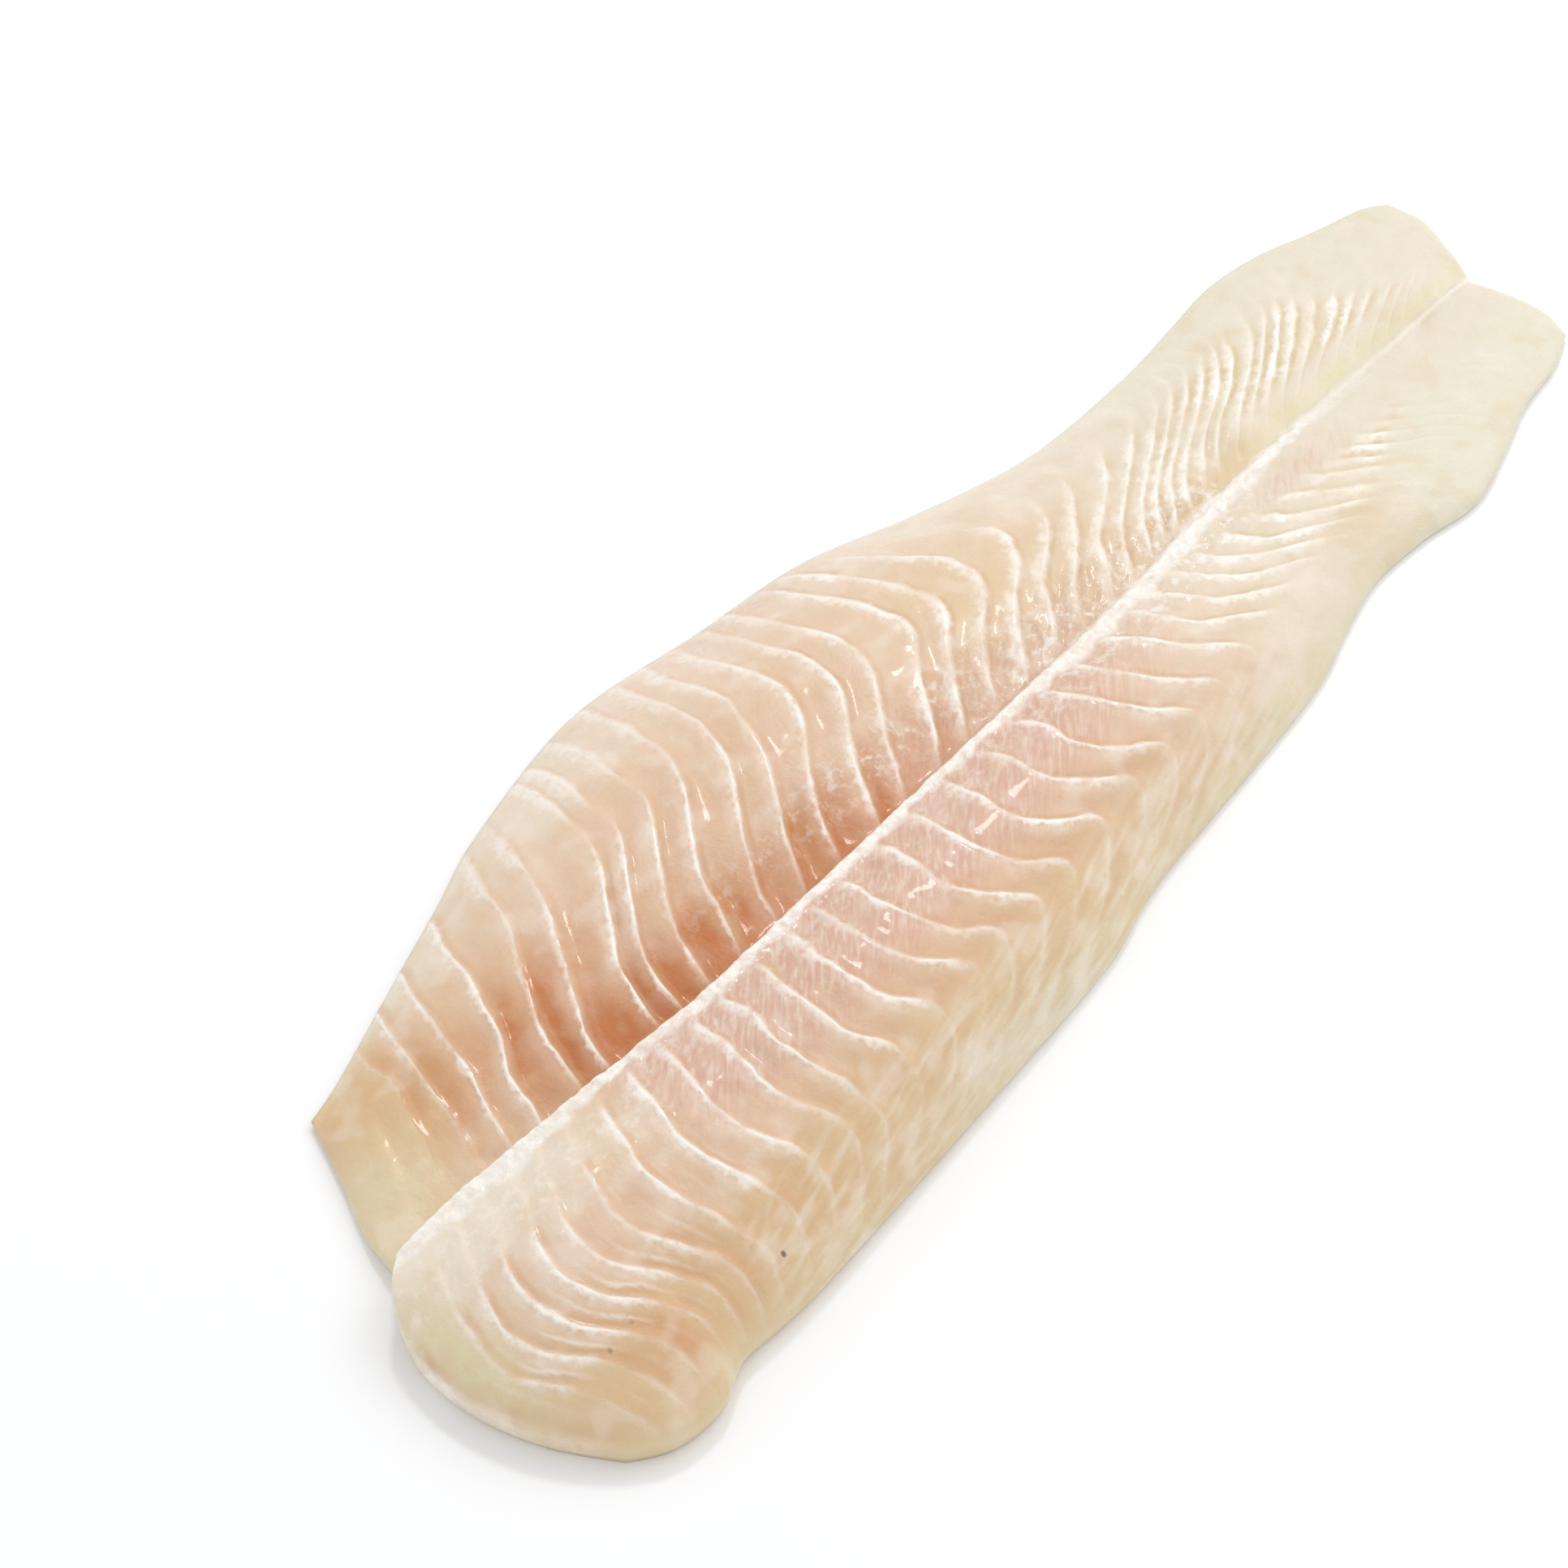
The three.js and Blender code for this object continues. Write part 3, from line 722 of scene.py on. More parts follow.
# Real fibres and grain are finer: they are drawn as coarse as they need to be to show.
PATTERNS = {
    "wander": Pattern(1.6, 1),      # how a wall strays from its path
    "fray": Pattern(1.6, 2),        # ragged edges of the walls
    "swell": Pattern(4.0, 1),       # where a wall is thick or thin
    "wear": Pattern(2.6, 2),        # where a wall is worn away
    "tears": Pattern(2.2, 3),       # torn grains by the ridge
    "rub": Pattern(1.8, 2),         # where the cord is worn away
    "clouds": Pattern(12.0, 3),     # slow change from peach to cream
    "mottle": Pattern(3.2, 3),      # small change of tint
    "blotches": Pattern(7.0, 1),    # soft tan and milky patches
    "fibres": Pattern(0.8, 1, 41),  # fine muscle fibres beside the ridge
    "brushed": Pattern(2.0, 1, 20),  # broad streaks down the back's outer side
    "sheen": Pattern(4.0, 2),       # wetter and drier places
    "wet": Pattern(1.8, 4),         # soft bumps of wet flesh
    "grit": Pattern(0.7, 1),        # grain of the flesh
}
# How much longer than wide a patch is in a pattern that is drawn out.
FIBRE_STRETCH = 7.0
NOISE_ROUGHNESS = 0.6
# Numbers of the Mix node's colour sockets, which share their names with its other sockets.
MIX_FACTOR, MIX_UNDER, MIX_OVER, MIX_RESULT = 0, 6, 7, 2

# What the steps below do, and the node that does it. The rest are operations of the Math node.
KINDS: dict[str, tuple[str, dict[str, Any]]] = {
    "RANGE": ("MapRange", {}),
    "EASED": ("MapRange", {"interpolation_type": "SMOOTHSTEP"}),
    "PRODUCT": ("Math", {"operation": "MULTIPLY", "use_clamp": True}),
    "RANDOM": ("TexWhiteNoise", {"noise_dimensions": "1D"}),
}

# The shading of the flesh, a node in each row: its name, what it does, and what feeds its inputs
# in turn: a zone, a pattern, an earlier row or a number. RANGE and EASED map a value from one
# range to another, straight or softly, and PRODUCT keeps within 0 and 1. None leaves an input
# as it is. Distances are in mm.
STEPS: tuple[tuple[str | float | None, ...], ...] = (
    # Place in the muscle block: share of the way, and distances from its two walls and middle.
    ("stray", "RANGE", "wander", 0.3, 0.7, -0.12, 0.12),
    ("stray_share", "DIVIDE", "stray", "pitch"),
    ("place", "ADD", "phase", "stray_share"),
    ("share", "FRACT", "place"),
    ("number", "FLOOR", "place"),
    ("tint", "RANDOM", None, "number"),
    ("behind", "MULTIPLY", "share", "pitch"),
    ("ahead", "SUBTRACT", "pitch", "behind"),
    ("past_middle", "SUBTRACT", "share", 0.5),
    ("off_middle", "ABSOLUTE", "past_middle"),
    ("middle", "MULTIPLY", "off_middle", "pitch"),
    # White walls, 0.5 to 1.5 mm wide: crisp on the tail side and soft on the head side. In the
    # head lobe a faint seam runs between two of them.
    ("frayed", "RANGE", "fray", 0.32, 0.68, 0.65, 1.35),
    ("uneven", "RANGE", "swell", 0.3, 0.7, 0.6, 1.4),
    ("rough_width", "MULTIPLY", "frayed", "uneven"),
    ("thickness", "RANGE", "thick", 0.0, 2.0, 0.34, 1.56),
    ("width", "MULTIPLY", "rough_width", "thickness"),
    ("tail_side", "EASED", "behind", 0.0, "width", 1.0, 0.0),
    ("reach", "MULTIPLY", "width", 1.8),
    ("head_side", "EASED", "ahead", 0.0, "reach", 1.0, 0.0),
    ("seam_half", "MULTIPLY", "uneven", 0.6),
    ("seam_line", "RANGE", "middle", 0.0, "seam_half", 1.0, 0.0),
    ("seam_shown", "PRODUCT", "seam_line", "seam"),
    ("both_sides", "MAXIMUM", "tail_side", "head_side"),
    ("line", "MAXIMUM", "seam_shown", "both_sides"),
    ("worn", "RANGE", "wear", 0.34, 0.5, 0.4, 1.0),
    ("worn_line", "PRODUCT", "line", "worn"),
    ("wall", "PRODUCT", "worn_line", "walls"),
    # The white cord along the ridge, and torn white grains beside it.
    ("torn", "EASED", "tears", 0.5, 0.68, 0.0, 0.8),
    ("grains_shown", "PRODUCT", "torn", "grain"),
    ("rubbed", "RANGE", "rub", 0.36, 0.56, 0.6, 1.0),
    ("cord_shown", "PRODUCT", "rubbed", "cord"),
    ("shreds", "MAXIMUM", "grains_shown", "cord_shown"),
    # Flesh: orange deepest right behind each wall and paler towards the next, a painted shade;
    # and a little different in each block.
    ("cloudy", "RANGE", "clouds", 0.35, 0.65, -0.2, 0.3),
    ("creamy", "ADD", "pale", "cloudy"),
    ("rose_mottle", "RANGE", "mottle", 0.3, 0.7, 0.7, 1.2),
    ("rosy", "PRODUCT", "rose", "rose_mottle"),
    ("paling", "EASED", "share", 0.0, 1.0, 1.0, 0.5),
    ("paled", "PRODUCT", "paling", "flush"),
    ("block_tint", "RANGE", "tint", 0.0, 1.0, 0.65, 1.35),
    ("flush_mottle", "RANGE", "mottle", 0.3, 0.7, 0.9, 1.15),
    ("flush_tint", "MULTIPLY", "block_tint", "flush_mottle"),
    ("flushed", "PRODUCT", "paled", "flush_tint"),
    ("green_mottle", "RANGE", "mottle", 0.3, 0.7, 0.6, 1.2),
    ("greenish", "PRODUCT", "green", "green_mottle"),
    # Painted shade: a darker line in the drop on the tail side of each wall, tan in the pale tail.
    ("painted_shade_fade", "EASED", "behind", 0.3, 2.4, 1.0, 0.0),
    ("painted_shade_line", "PRODUCT", "painted_shade_fade", "walls"),
    ("shading", "SUBTRACT", "painted_shade_line", "bare"),
    ("bare_more", "MULTIPLY", "bare", 1.5),
    ("painted_tail_shade", "MULTIPLY", "painted_shade_line", "bare_more"),
    # Milky flesh around each wall, partly painted light on the slope that rises to it; less of it
    # where the flesh is deep or bare.
    ("behind_twice", "MULTIPLY", "behind", 2.0),
    ("near", "MINIMUM", "ahead", "behind_twice"),
    ("halo", "EASED", "near", 0.3, 3.2, 0.85, 0.0),
    ("deep", "MULTIPLY_ADD", "rose", 0.6, "flush"),
    ("clear", "RANGE", "deep", 0.2, 1.0, 1.0, 0.3),
    ("clear_halo", "PRODUCT", "halo", "clear"),
    ("halo_mottle", "RANGE", "mottle", 0.35, 0.62, 0.3, 0.9),
    ("mottled_halo", "PRODUCT", "clear_halo", "halo_mottle"),
    ("halo_left", "RANGE", "bare", 0.0, 1.0, 1.0, 0.4),
    ("milky", "PRODUCT", "mottled_halo", "halo_left"),
    ("milk_and_painted_light", "PRODUCT", "milky", "walls"),
    # Dark and light sides of the fibres, the broad streaks and the blotches.
    ("dark_fibres", "RANGE", "fibres", 0.5, 0.7, 0.0, 0.45),
    ("blood_fibres", "PRODUCT", "rose", "dark_fibres"),
    ("light_fibres", "RANGE", "fibres", 0.48, 0.32, 0.0, 0.35),
    ("haze_fibres", "PRODUCT", "rose", "light_fibres"),
    ("dark_streaks", "RANGE", "brushed", 0.5, 0.7, 0.0, 0.25),
    ("shade_streaks", "PRODUCT", "brush", "dark_streaks"),
    ("light_streaks", "RANGE", "brushed", 0.5, 0.32, 0.0, 0.4),
    ("haze_streaks", "PRODUCT", "brush", "light_streaks"),
    ("tan_blotches", "EASED", "blotches", 0.54, 0.7, 0.0, 0.25),
    ("light_blotches", "EASED", "blotches", 0.47, 0.3, 0.0, 0.3),
    ("haze_blotches", "PRODUCT", "clear", "light_blotches"),
    # Wet sheen, and low bumps: uneven flesh, and walls and shreds that stand proud.
    ("roughness", "RANGE", "sheen", 0.35, 0.65, 0.32, 0.5),
    ("low_grit", "MULTIPLY", "grit", 0.3),
    ("uneven_flesh", "ADD", "wet", "low_grit"),
    ("torn_flesh", "MULTIPLY_ADD", "shreds", 0.5, "uneven_flesh"),
    ("relief", "MULTIPLY_ADD", "wall", 0.5, "torn_flesh"),
)

# Colours laid over the peach of the flesh, from the lowest up, and the row or zone that says
# how much of each shows.
LAYERS = (
    ("cream", "creamy"), ("tan", "tan"), ("rose", "rosy"), ("orange", "flushed"), ("bare", "bare"),
    ("green", "greenish"), ("film_and_rim_highlight", "film_and_rim_highlight"), ("shade", "shading"), ("band", "painted_tail_shade"),
    ("haze", "milk_and_painted_light"), ("blood", "blood_fibres"), ("haze", "haze_fibres"),
    ("shade", "shade_streaks"), ("haze", "haze_streaks"), ("tan", "tan_blotches"),
    ("haze", "haze_blotches"), ("wall", "wall"), ("cord", "shreds"), ("speck", "specks"),
)


@dataclass(frozen=True)
class RawHakeFlesh:
    """Moist raw hake, cut and skinned by hand.

    The eye sees soft, slightly see-through flesh: cream to peach, deep orange in the groove,
    parted by thin white walls of connective tissue, with a wet sheen in small glints.

    Attributes:
        peach: Flesh of the middle of the fillet.
        cream: Pale flesh of the head end and the belly's edge.
        tan: Flesh down the back half's outer side.
        orange: Deepest flesh, in the groove along the ridge.
        rose: Flesh beside the ridge.
        blood: Fine blood streaks in the flesh beside the ridge.
        bare: Thin cream flesh of the tail.
        green: Yellow-green tinge of thin rims and of the tail's groove.
        film_and_rim_highlight: Smooth pale membrane on the tail, and a painted highlight along
        the belly's rim near the head end.
        shade: Painted shade: a thin darker line in the drop on the tail side of each wall.
        band: The same painted shade line in the pale flesh of the tail.
        haze: Milky flesh on the head side of each wall, partly painted light on the slope up to it.
        wall: White walls between the muscle blocks.
        cord: White cord and torn shreds of connective tissue along the ridge.
        speck: Tiny dark specks left by skin and blood.
        specks: Places of the specks and how dark they are: x and y in mm, strength.
        speck_edge: Distance from a speck's middle at which it starts and ends to fade, in mm.
        bump: Height of the bumps, in mm.
        depth: How far light travels in the flesh, in mm.
    """

    peach: str = "E2C5A9"
    cream: str = "E9DCC9"
    tan: str = "DDC198"
    orange: str = "C67D48"
    rose: str = "D9B39F"
    blood: str = "CF9A8A"
    bare: str = "E4DBC8"
    green: str = "DED5AC"
    film_and_rim_highlight: str = "E3DCC7"
    shade: str = "CE9D72"
    band: str = "D6C093"
    haze: str = "F0E3D5"
    wall: str = "FCF5EC"
    cord: str = "F8F2EA"
    speck: str = "6A5644"
    specks: Rows = ((-101.0, -47.3, 0.85), (-133.0, -40.0, 0.4), (-127.5, -39.5, 0.3))
    speck_edge: tuple[float, float] = (0.2, 0.6)
    bump: float = 0.32
    depth: float = 2.5

    def material(self) -> bpy.types.Material:
        """Builds the material.

        Returns:
            The material, which reads Object coordinates and the piece's own attributes.
        """
        material = bpy.data.materials.new("raw_hake_flesh")
        material.use_nodes = True
        tree = material.node_tree
        tree.nodes.clear()
        fields = self.fields(tree)
        colour: Any = linear_colour(self.peach)
        for code, amount in LAYERS:
            over = linear_colour(getattr(self, code))
            inputs = {MIX_FACTOR: fields[amount], MIX_UNDER: colour, MIX_OVER: over}
            colour = add_node(tree, "Mix", inputs, out=MIX_RESULT, data_type="RGBA")
        bump = {"Strength": 0.8, "Distance": self.bump * MM, "Height": fields["relief"]}
        surface = add_node(tree, "BsdfPrincipled", {
            "Base Color": colour,
            "Roughness": fields["roughness"],
            "IOR": 1.38,
            "Subsurface Weight": 0.35,
            "Subsurface Radius": (1.0, 0.66, 0.45),
            "Subsurface Scale": self.depth * MM,
            "Coat Weight": 0.5,
            "Coat Roughness": 0.08,
            "Coat IOR": 1.33,
            "Normal": add_node(tree, "Bump", bump),
        })
        add_node(tree, "OutputMaterial", {"Surface": surface})
        return material

    def fields(self, tree: bpy.types.NodeTree) -> dict[str, Socket]:
        """Adds the nodes of all zones, patterns and steps.

        Args:
            tree: The material's node tree.

        Returns:
            For each zone, pattern and step, the socket that holds it.
        """
        coords = add_node(tree, "TexCoord", out="Object")
        fields = {name: add_node(tree, "Attribute", out="Fac", attribute_name=name) for name in ZONES}
        for name, (size, detail, degrees) in PATTERNS.items():
            place = coords
            if degrees is not None:
                place = add_node(tree, "Mapping", {
                    "Vector": coords,
                    "Rotation": (0.0, 0.0, math.radians(degrees)),
                    "Scale": (FIBRE_STRETCH, 1.0, 1.0),
                }, vector_type="TEXTURE")
            inputs = {"Vector": place, "Scale": 1 / (size * MM), "Detail": detail}
            inputs["Roughness"] = NOISE_ROUGHNESS
            fields[name] = add_node(tree, "TexNoise", inputs, out="Fac")
        for name, step, *feeds in STEPS:
            kind, settings = KINDS.get(step, ("Math", {"operation": step}))
            inputs = {i: fields.get(feed, feed) for i, feed in enumerate(feeds) if feed is not None}
            fields[name] = add_node(tree, kind, inputs, **settings)
        fields["specks"] = self.dots(tree, coords)
        return fields

    def dots(self, tree: bpy.types.NodeTree, coords: Socket) -> Socket:
        """Adds the nodes of the tiny dark specks, which lie in plan whatever the height.

        Args:
            tree: The material's node tree.
            coords: Object coordinates.

        Returns:
            The socket that holds how dark the specks are.
        """
        flat = add_node(tree, "VectorMath", {0: coords, 1: (1.0, 1.0, 0.0)}, operation="MULTIPLY")
        start, end = (edge * MM for edge in self.speck_edge)
        found: Any = 0.0
        for x, y, strength in self.specks:
            centre = {0: flat, 1: (x * MM, y * MM, 0.0)}
            away = add_node(tree, "VectorMath", centre, out="Value", operation="DISTANCE")
            kind, settings = KINDS["EASED"]
            near = add_node(tree, kind, {0: away, 1: start, 2: end, 3: strength, 4: 0.0}, **settings)
            found = add_node(tree, "Math", {0: found, 1: near}, operation="MAXIMUM")
        return found


# ---- Zones of colour -------------------------------------------------------------------------

ZONES = (
    "phase", "pitch", "walls", "thick", "flush", "rose", "tan", "brush", "pale", "bare", "green",
    "film_and_rim_highlight", "cord", "grain", "seam",
)


class Patch(NamedTuple):
    """A soft oval patch of a zone: its strength, and its middle and reach in mm."""

    zone: str
    strength: float
    centre: tuple[float, float]
    reach: tuple[float, float]


PATCHES = {
    Half.BACK: (
        Patch("flush", 0.5, (-120, -44), (13, 8)), Patch("flush", 0.2, (-95, -43), (10, 4)),
        Patch("rose", 0.6, (84, -6), (13, 4)), Patch("tan", 0.5, (-120, -44), (13, 8)),
        Patch("tan", 0.8, (84, -20), (13, 8)), Patch("tan", 0.5, (-95, -42), (10, 5)),
        Patch("green", 0.9, (-147, -24), (6, 16)), Patch("film_and_rim_highlight", 0.8, (-38, -46.5), (18, 1.8)),
    ),
    Half.BELLY: (
        Patch("flush", 0.85, (-100, 14), (19, 13)), Patch("flush", 0.25, (-120, 28), (12, 8)),
        Patch("rose", 0.6, (-6, 50), (22, 6)), Patch("tan", 1.4, (-118, 22), (14, 13)),
        # The pale patch by the belly's rim at x -104 is a painted highlight.
        Patch("tan", 1.3, (70, 4), (24, 4)), Patch("film_and_rim_highlight", 0.7, (-104, 37), (18, 3)),
    ),
}


@dataclass
class FleshZones:
    """Where each colour of the flesh shows, as strengths from 0 up.

    The numbers in the rules below are places along x in mm, shares t of the width, and strengths.

    Attributes:
        patch_hill: Width of the patches in which a wall is strong or faint, in mm.
        cord_hill: Width of the patches in which the cord is wide or narrow, in mm.
        strongest: Most that a zone may reach.
    """

    patch_hill: float = 7.0
    cord_hill: float = 3.0
    strongest: float = 2.0

    def __post_init__(self) -> None:
        """Draws the patches, and how faint each wall is."""
        self.noise = SoftNoise(seed=23)
        self.faintness = np.random.default_rng(29).uniform(0.0, 1.0, 64)

    def at(self, half: Half, plan: Array, t: Array, edge: Array, phase: Array,
           pitch: Array) -> dict[str, Array]:
        """Strengths of all zones.

        Args:
            half: Half of the fillet.
            plan: Plan positions (..., 2), in mm.
            t: Share of the width.
            edge: Distance from the half's edge, in mm.
            phase: Count of muscle blocks.
            pitch: Distance from one wall to the next, in mm.

        Returns:
            For each zone, its strength. The phase and pitch are passed on as they are.
        """
        x, y = plan[..., 0], plan[..., 1]
        zones = {name: np.zeros_like(x) for name in ZONES}
        zones.update(self.back(x, t) if half is Half.BACK else self.belly(x, y, t))
        for patch in PATCHES[half]:
            zones[patch.zone] = zones[patch.zone] + patch.strength * spot(x, y, patch.centre, patch.reach)
        patchy = blend(0.4, 1.0, smooth(-0.7, 0.2, self.noise.at(x, y, self.patch_hill)))
        faint = self.faintness[np.rint(phase).astype(int)] * blend(0.25, 0.6, smooth(50, 80, x))
        strong = blend(1.0, 1.3, smooth(45, 75, x))
        zones["walls"] = zones["walls"] * patchy * strong * (1 - faint) * smooth(1.1, 2.2, pitch)
        zones["cord"] = self.cord(half, x, y, t)
        zones["green"] = zones["green"] + 0.4 * fall(0.0, 4.5, edge)
        tinted = np.clip(zones["tan"] + zones["rose"], 0, 1)
        zones["bare"] = 0.9 * smooth(20, 90, x) * (1 - 0.75 * tinted)
        zones = {name: np.clip(values, 0, self.strongest) for name, values in zones.items()}
        return {**zones, "phase": phase, "pitch": pitch}

    def cord(self, half: Half, x: Array, y: Array, t: Array) -> Array:
        """The cord: ragged at the head, thin from x -100, and broad on the back's side at 15 to 75.

        The belly's side falls steeply from it, so it takes up little of that side's width.

        Args:
            half: Half of the fillet.
            x: Places along the fillet, in mm.
            y: Places across it, in mm.
            t: Share of the width.

        Returns:
            Its strength, from 0 to 1.
        """
        broad = smooth(0, 35, x) * fall(70, 84, x) * (1.15 if half is Half.BACK else 0.3)
        ragged = fall(-118, -98, x)
        width = blend(0.052, 0.1, np.maximum(broad, ragged))
        if half is Half.BELLY:
            width = width * blend(0.28, 1.0, smooth(0, 40, x))
        width = width * blend(0.75, 1.25, smooth(-0.5, 0.5, self.noise.at(x, y, self.cord_hill)))
        return fall(0.45, 1.0, t / width) * blend(1.0, 0.25, smooth(84, 108, x))

    @staticmethod
    def back(x: Array, t: Array) -> dict[str, Array]:
        """Strengths in the thick back half, without its patches.

        Args:
            x: Places along the fillet, in mm.
            t: Share of the width.

        Returns:
            For each zone that shows there, its strength.
        """
        lobe = fall(-118, -96, x)
        loin = smooth(-104, -88, x)
        ahead_of_tail = fall(20, 50, x)
        # Walls start off the ridge in the lobe and the tail, and end where they bend back.
        inner = 0.25 * lobe + blend(0.02, 0.26, smooth(40, 85, x))
        bend = blend(0.76, 0.68, smooth(-20, 50, x)) - 0.3 * smooth(82, 112, x)
        band = smooth(inner, inner + 0.1, t) * fall(bend - 0.14, bend + 0.04, t)
        band = band * blend(0.7, 1.0, smooth(-147, -132, x)) * fall(106, 116, x)
        beyond = 0.25 * smooth(bend - 0.02, bend + 0.06, t) * fall(0.9, 1, t)
        by_ridge = fall(0.22, 0.45, t) * (1 - lobe)
        # They swell where they bend, and where they leave the cord.
        wedge = np.exp(-(((t - bend + 0.09) / 0.08) ** 2)) * smooth(-130, -110, x) * ahead_of_tail
        root = fall(0.03, 0.13, t) * loin
        torn = fall(0.1, 0.36, t) * smooth(-20, 30, x) * fall(66, 84, x)
        bits = fall(0.06, 0.3, t) * loin * ahead_of_tail
        lumps = smooth(0.06, 0.14, t) * fall(0.24, 0.4, t) * fall(-104, -86, x)
        mid = smooth(0.3, 0.5, t) * fall(0.66, 0.8, t) * fall(0, 70, x)
        return {
            "walls": np.maximum(band, beyond * fall(10, 50, x)),
            "thick": np.maximum(by_ridge, 0.4) + 0.5 * wedge + 0.6 * smooth(30, 60, x) + 0.4 * root,
            "flush": blend(0.16, 0.32, smooth(-90, -60, x)) * mid,
            "rose": fall(0.34, 0.6, t) * loin * fall(0, 50, x),
            "tan": 0.8 * smooth(0.5, 0.78, t) * fall(-30, 50, x),
            "brush": smooth(0.68, 0.8, t) * smooth(-112, -96, x) * fall(20, 70, x),
            "pale": 0.95 * lobe * fall(0.2, 0.42, t) + 0.5 * smooth(-10, 50, x),
            "green": 0.3 * smooth(0.78, 0.95, t) * smooth(-80, -30, x) * fall(40, 80, x),
            "film_and_rim_highlight": smooth(84, 100, x) * smooth(0.32, 0.5, t),
            "grain": np.maximum(np.maximum(0.9 * torn, 0.35 * bits), 0.4 * lumps),
            "seam": 0.6 * lobe * smooth(0.4, 0.6, t) * fall(0.8, 0.95, t),
        }

    @staticmethod
    def belly(x: Array, y: Array, t: Array) -> dict[str, Array]:
        """Strengths in the thin belly half, without its patches.

        Args:
            x: Places along the fillet, in mm.
            y: Places across it, in mm.
            t: Share of the width.

        Returns:
            For each zone that shows there, its strength.
        """
        groove = fall(0.14, 0.32, t)
        by_groove = fall(0.34, 0.7, t)
        along = smooth(-116, -90, x) * fall(-60, 25, x)
        # Walls run from the ridge to the rim, to midway in the tail, and break off at mid-belly.
        inner = blend(0.04, 0.2, smooth(55, 90, x))
        outer = blend(1.1, 0.62, smooth(-10, 40, x)) - 0.3 * smooth(110, 135, x)
        walls = smooth(inner, inner + 0.1, t) * fall(outer - 0.08, outer + 0.1, t)
        walls = walls * smooth(-118, -106, x) * fall(126, 138, x)
        gap = spot(x, y, (-58, 31), (28, 6.0))
        upper = smooth(33, 40, y) * smooth(-96, -76, x) * fall(-10, 20, x)
        hooks = smooth(-4, 14, x) * fall(44, 60, x) * fall(0.45, 0.8, t)
        torn = fall(0.1, 0.34, t) * smooth(-15, 25, x) * fall(66, 84, x)
        flap = fall(-130, -114, x) * fall(12, 28, y)
        tail_groove = smooth(70, 92, x) * spot(x, y, (112, 4), (70, 1.9))
        return {
            "walls": walls * (1 - gap) * (1 - 0.4 * upper),
            "thick": np.maximum(0.35 + 0.65 * smooth(-50, -5, x) + 0.6 * hooks, 1.8 * upper),
            "flush": along * (blend(0.4, 1.1, smooth(-98, -80, x)) * groove + 0.3 * by_groove),
            "rose": 0.5 * groove * smooth(-40, 0, x) * fall(30, 70, x),
            "tan": 0.6 * hooks,
            "pale": 0.4 * upper + 0.5 * smooth(-10, 40, x),
            "green": 0.6 * flap + 0.7 * tail_groove,
            "film_and_rim_highlight": 0.4 * smooth(60, 80, x) * smooth(0.7, 0.85, t),
            "grain": np.maximum(0.9 * torn, 0.7 * spot(x, y, (-12, 6), (42, 4.5))),
        }


# ---- The fillet ------------------------------------------------------------------------------


@dataclass(frozen=True)
class HalfGrid:
    """One half of the fillet on its grid of columns (along) and rows (out from the spine).

    Attributes:
        s: Share of the length.
        t: Share of the width.
        width: Width of the half from the spine to its edge, in mm.
        phase: Count of muscle blocks.
        rim: Thickness of the rim, in mm.
        top: Height of the top surface, in mm.
        zones: For each zone, its strength.
    """

    s: Array
    t: Array
    width: Array
    phase: Array
    rim: Array
    top: Array
    zones: dict[str, Array]


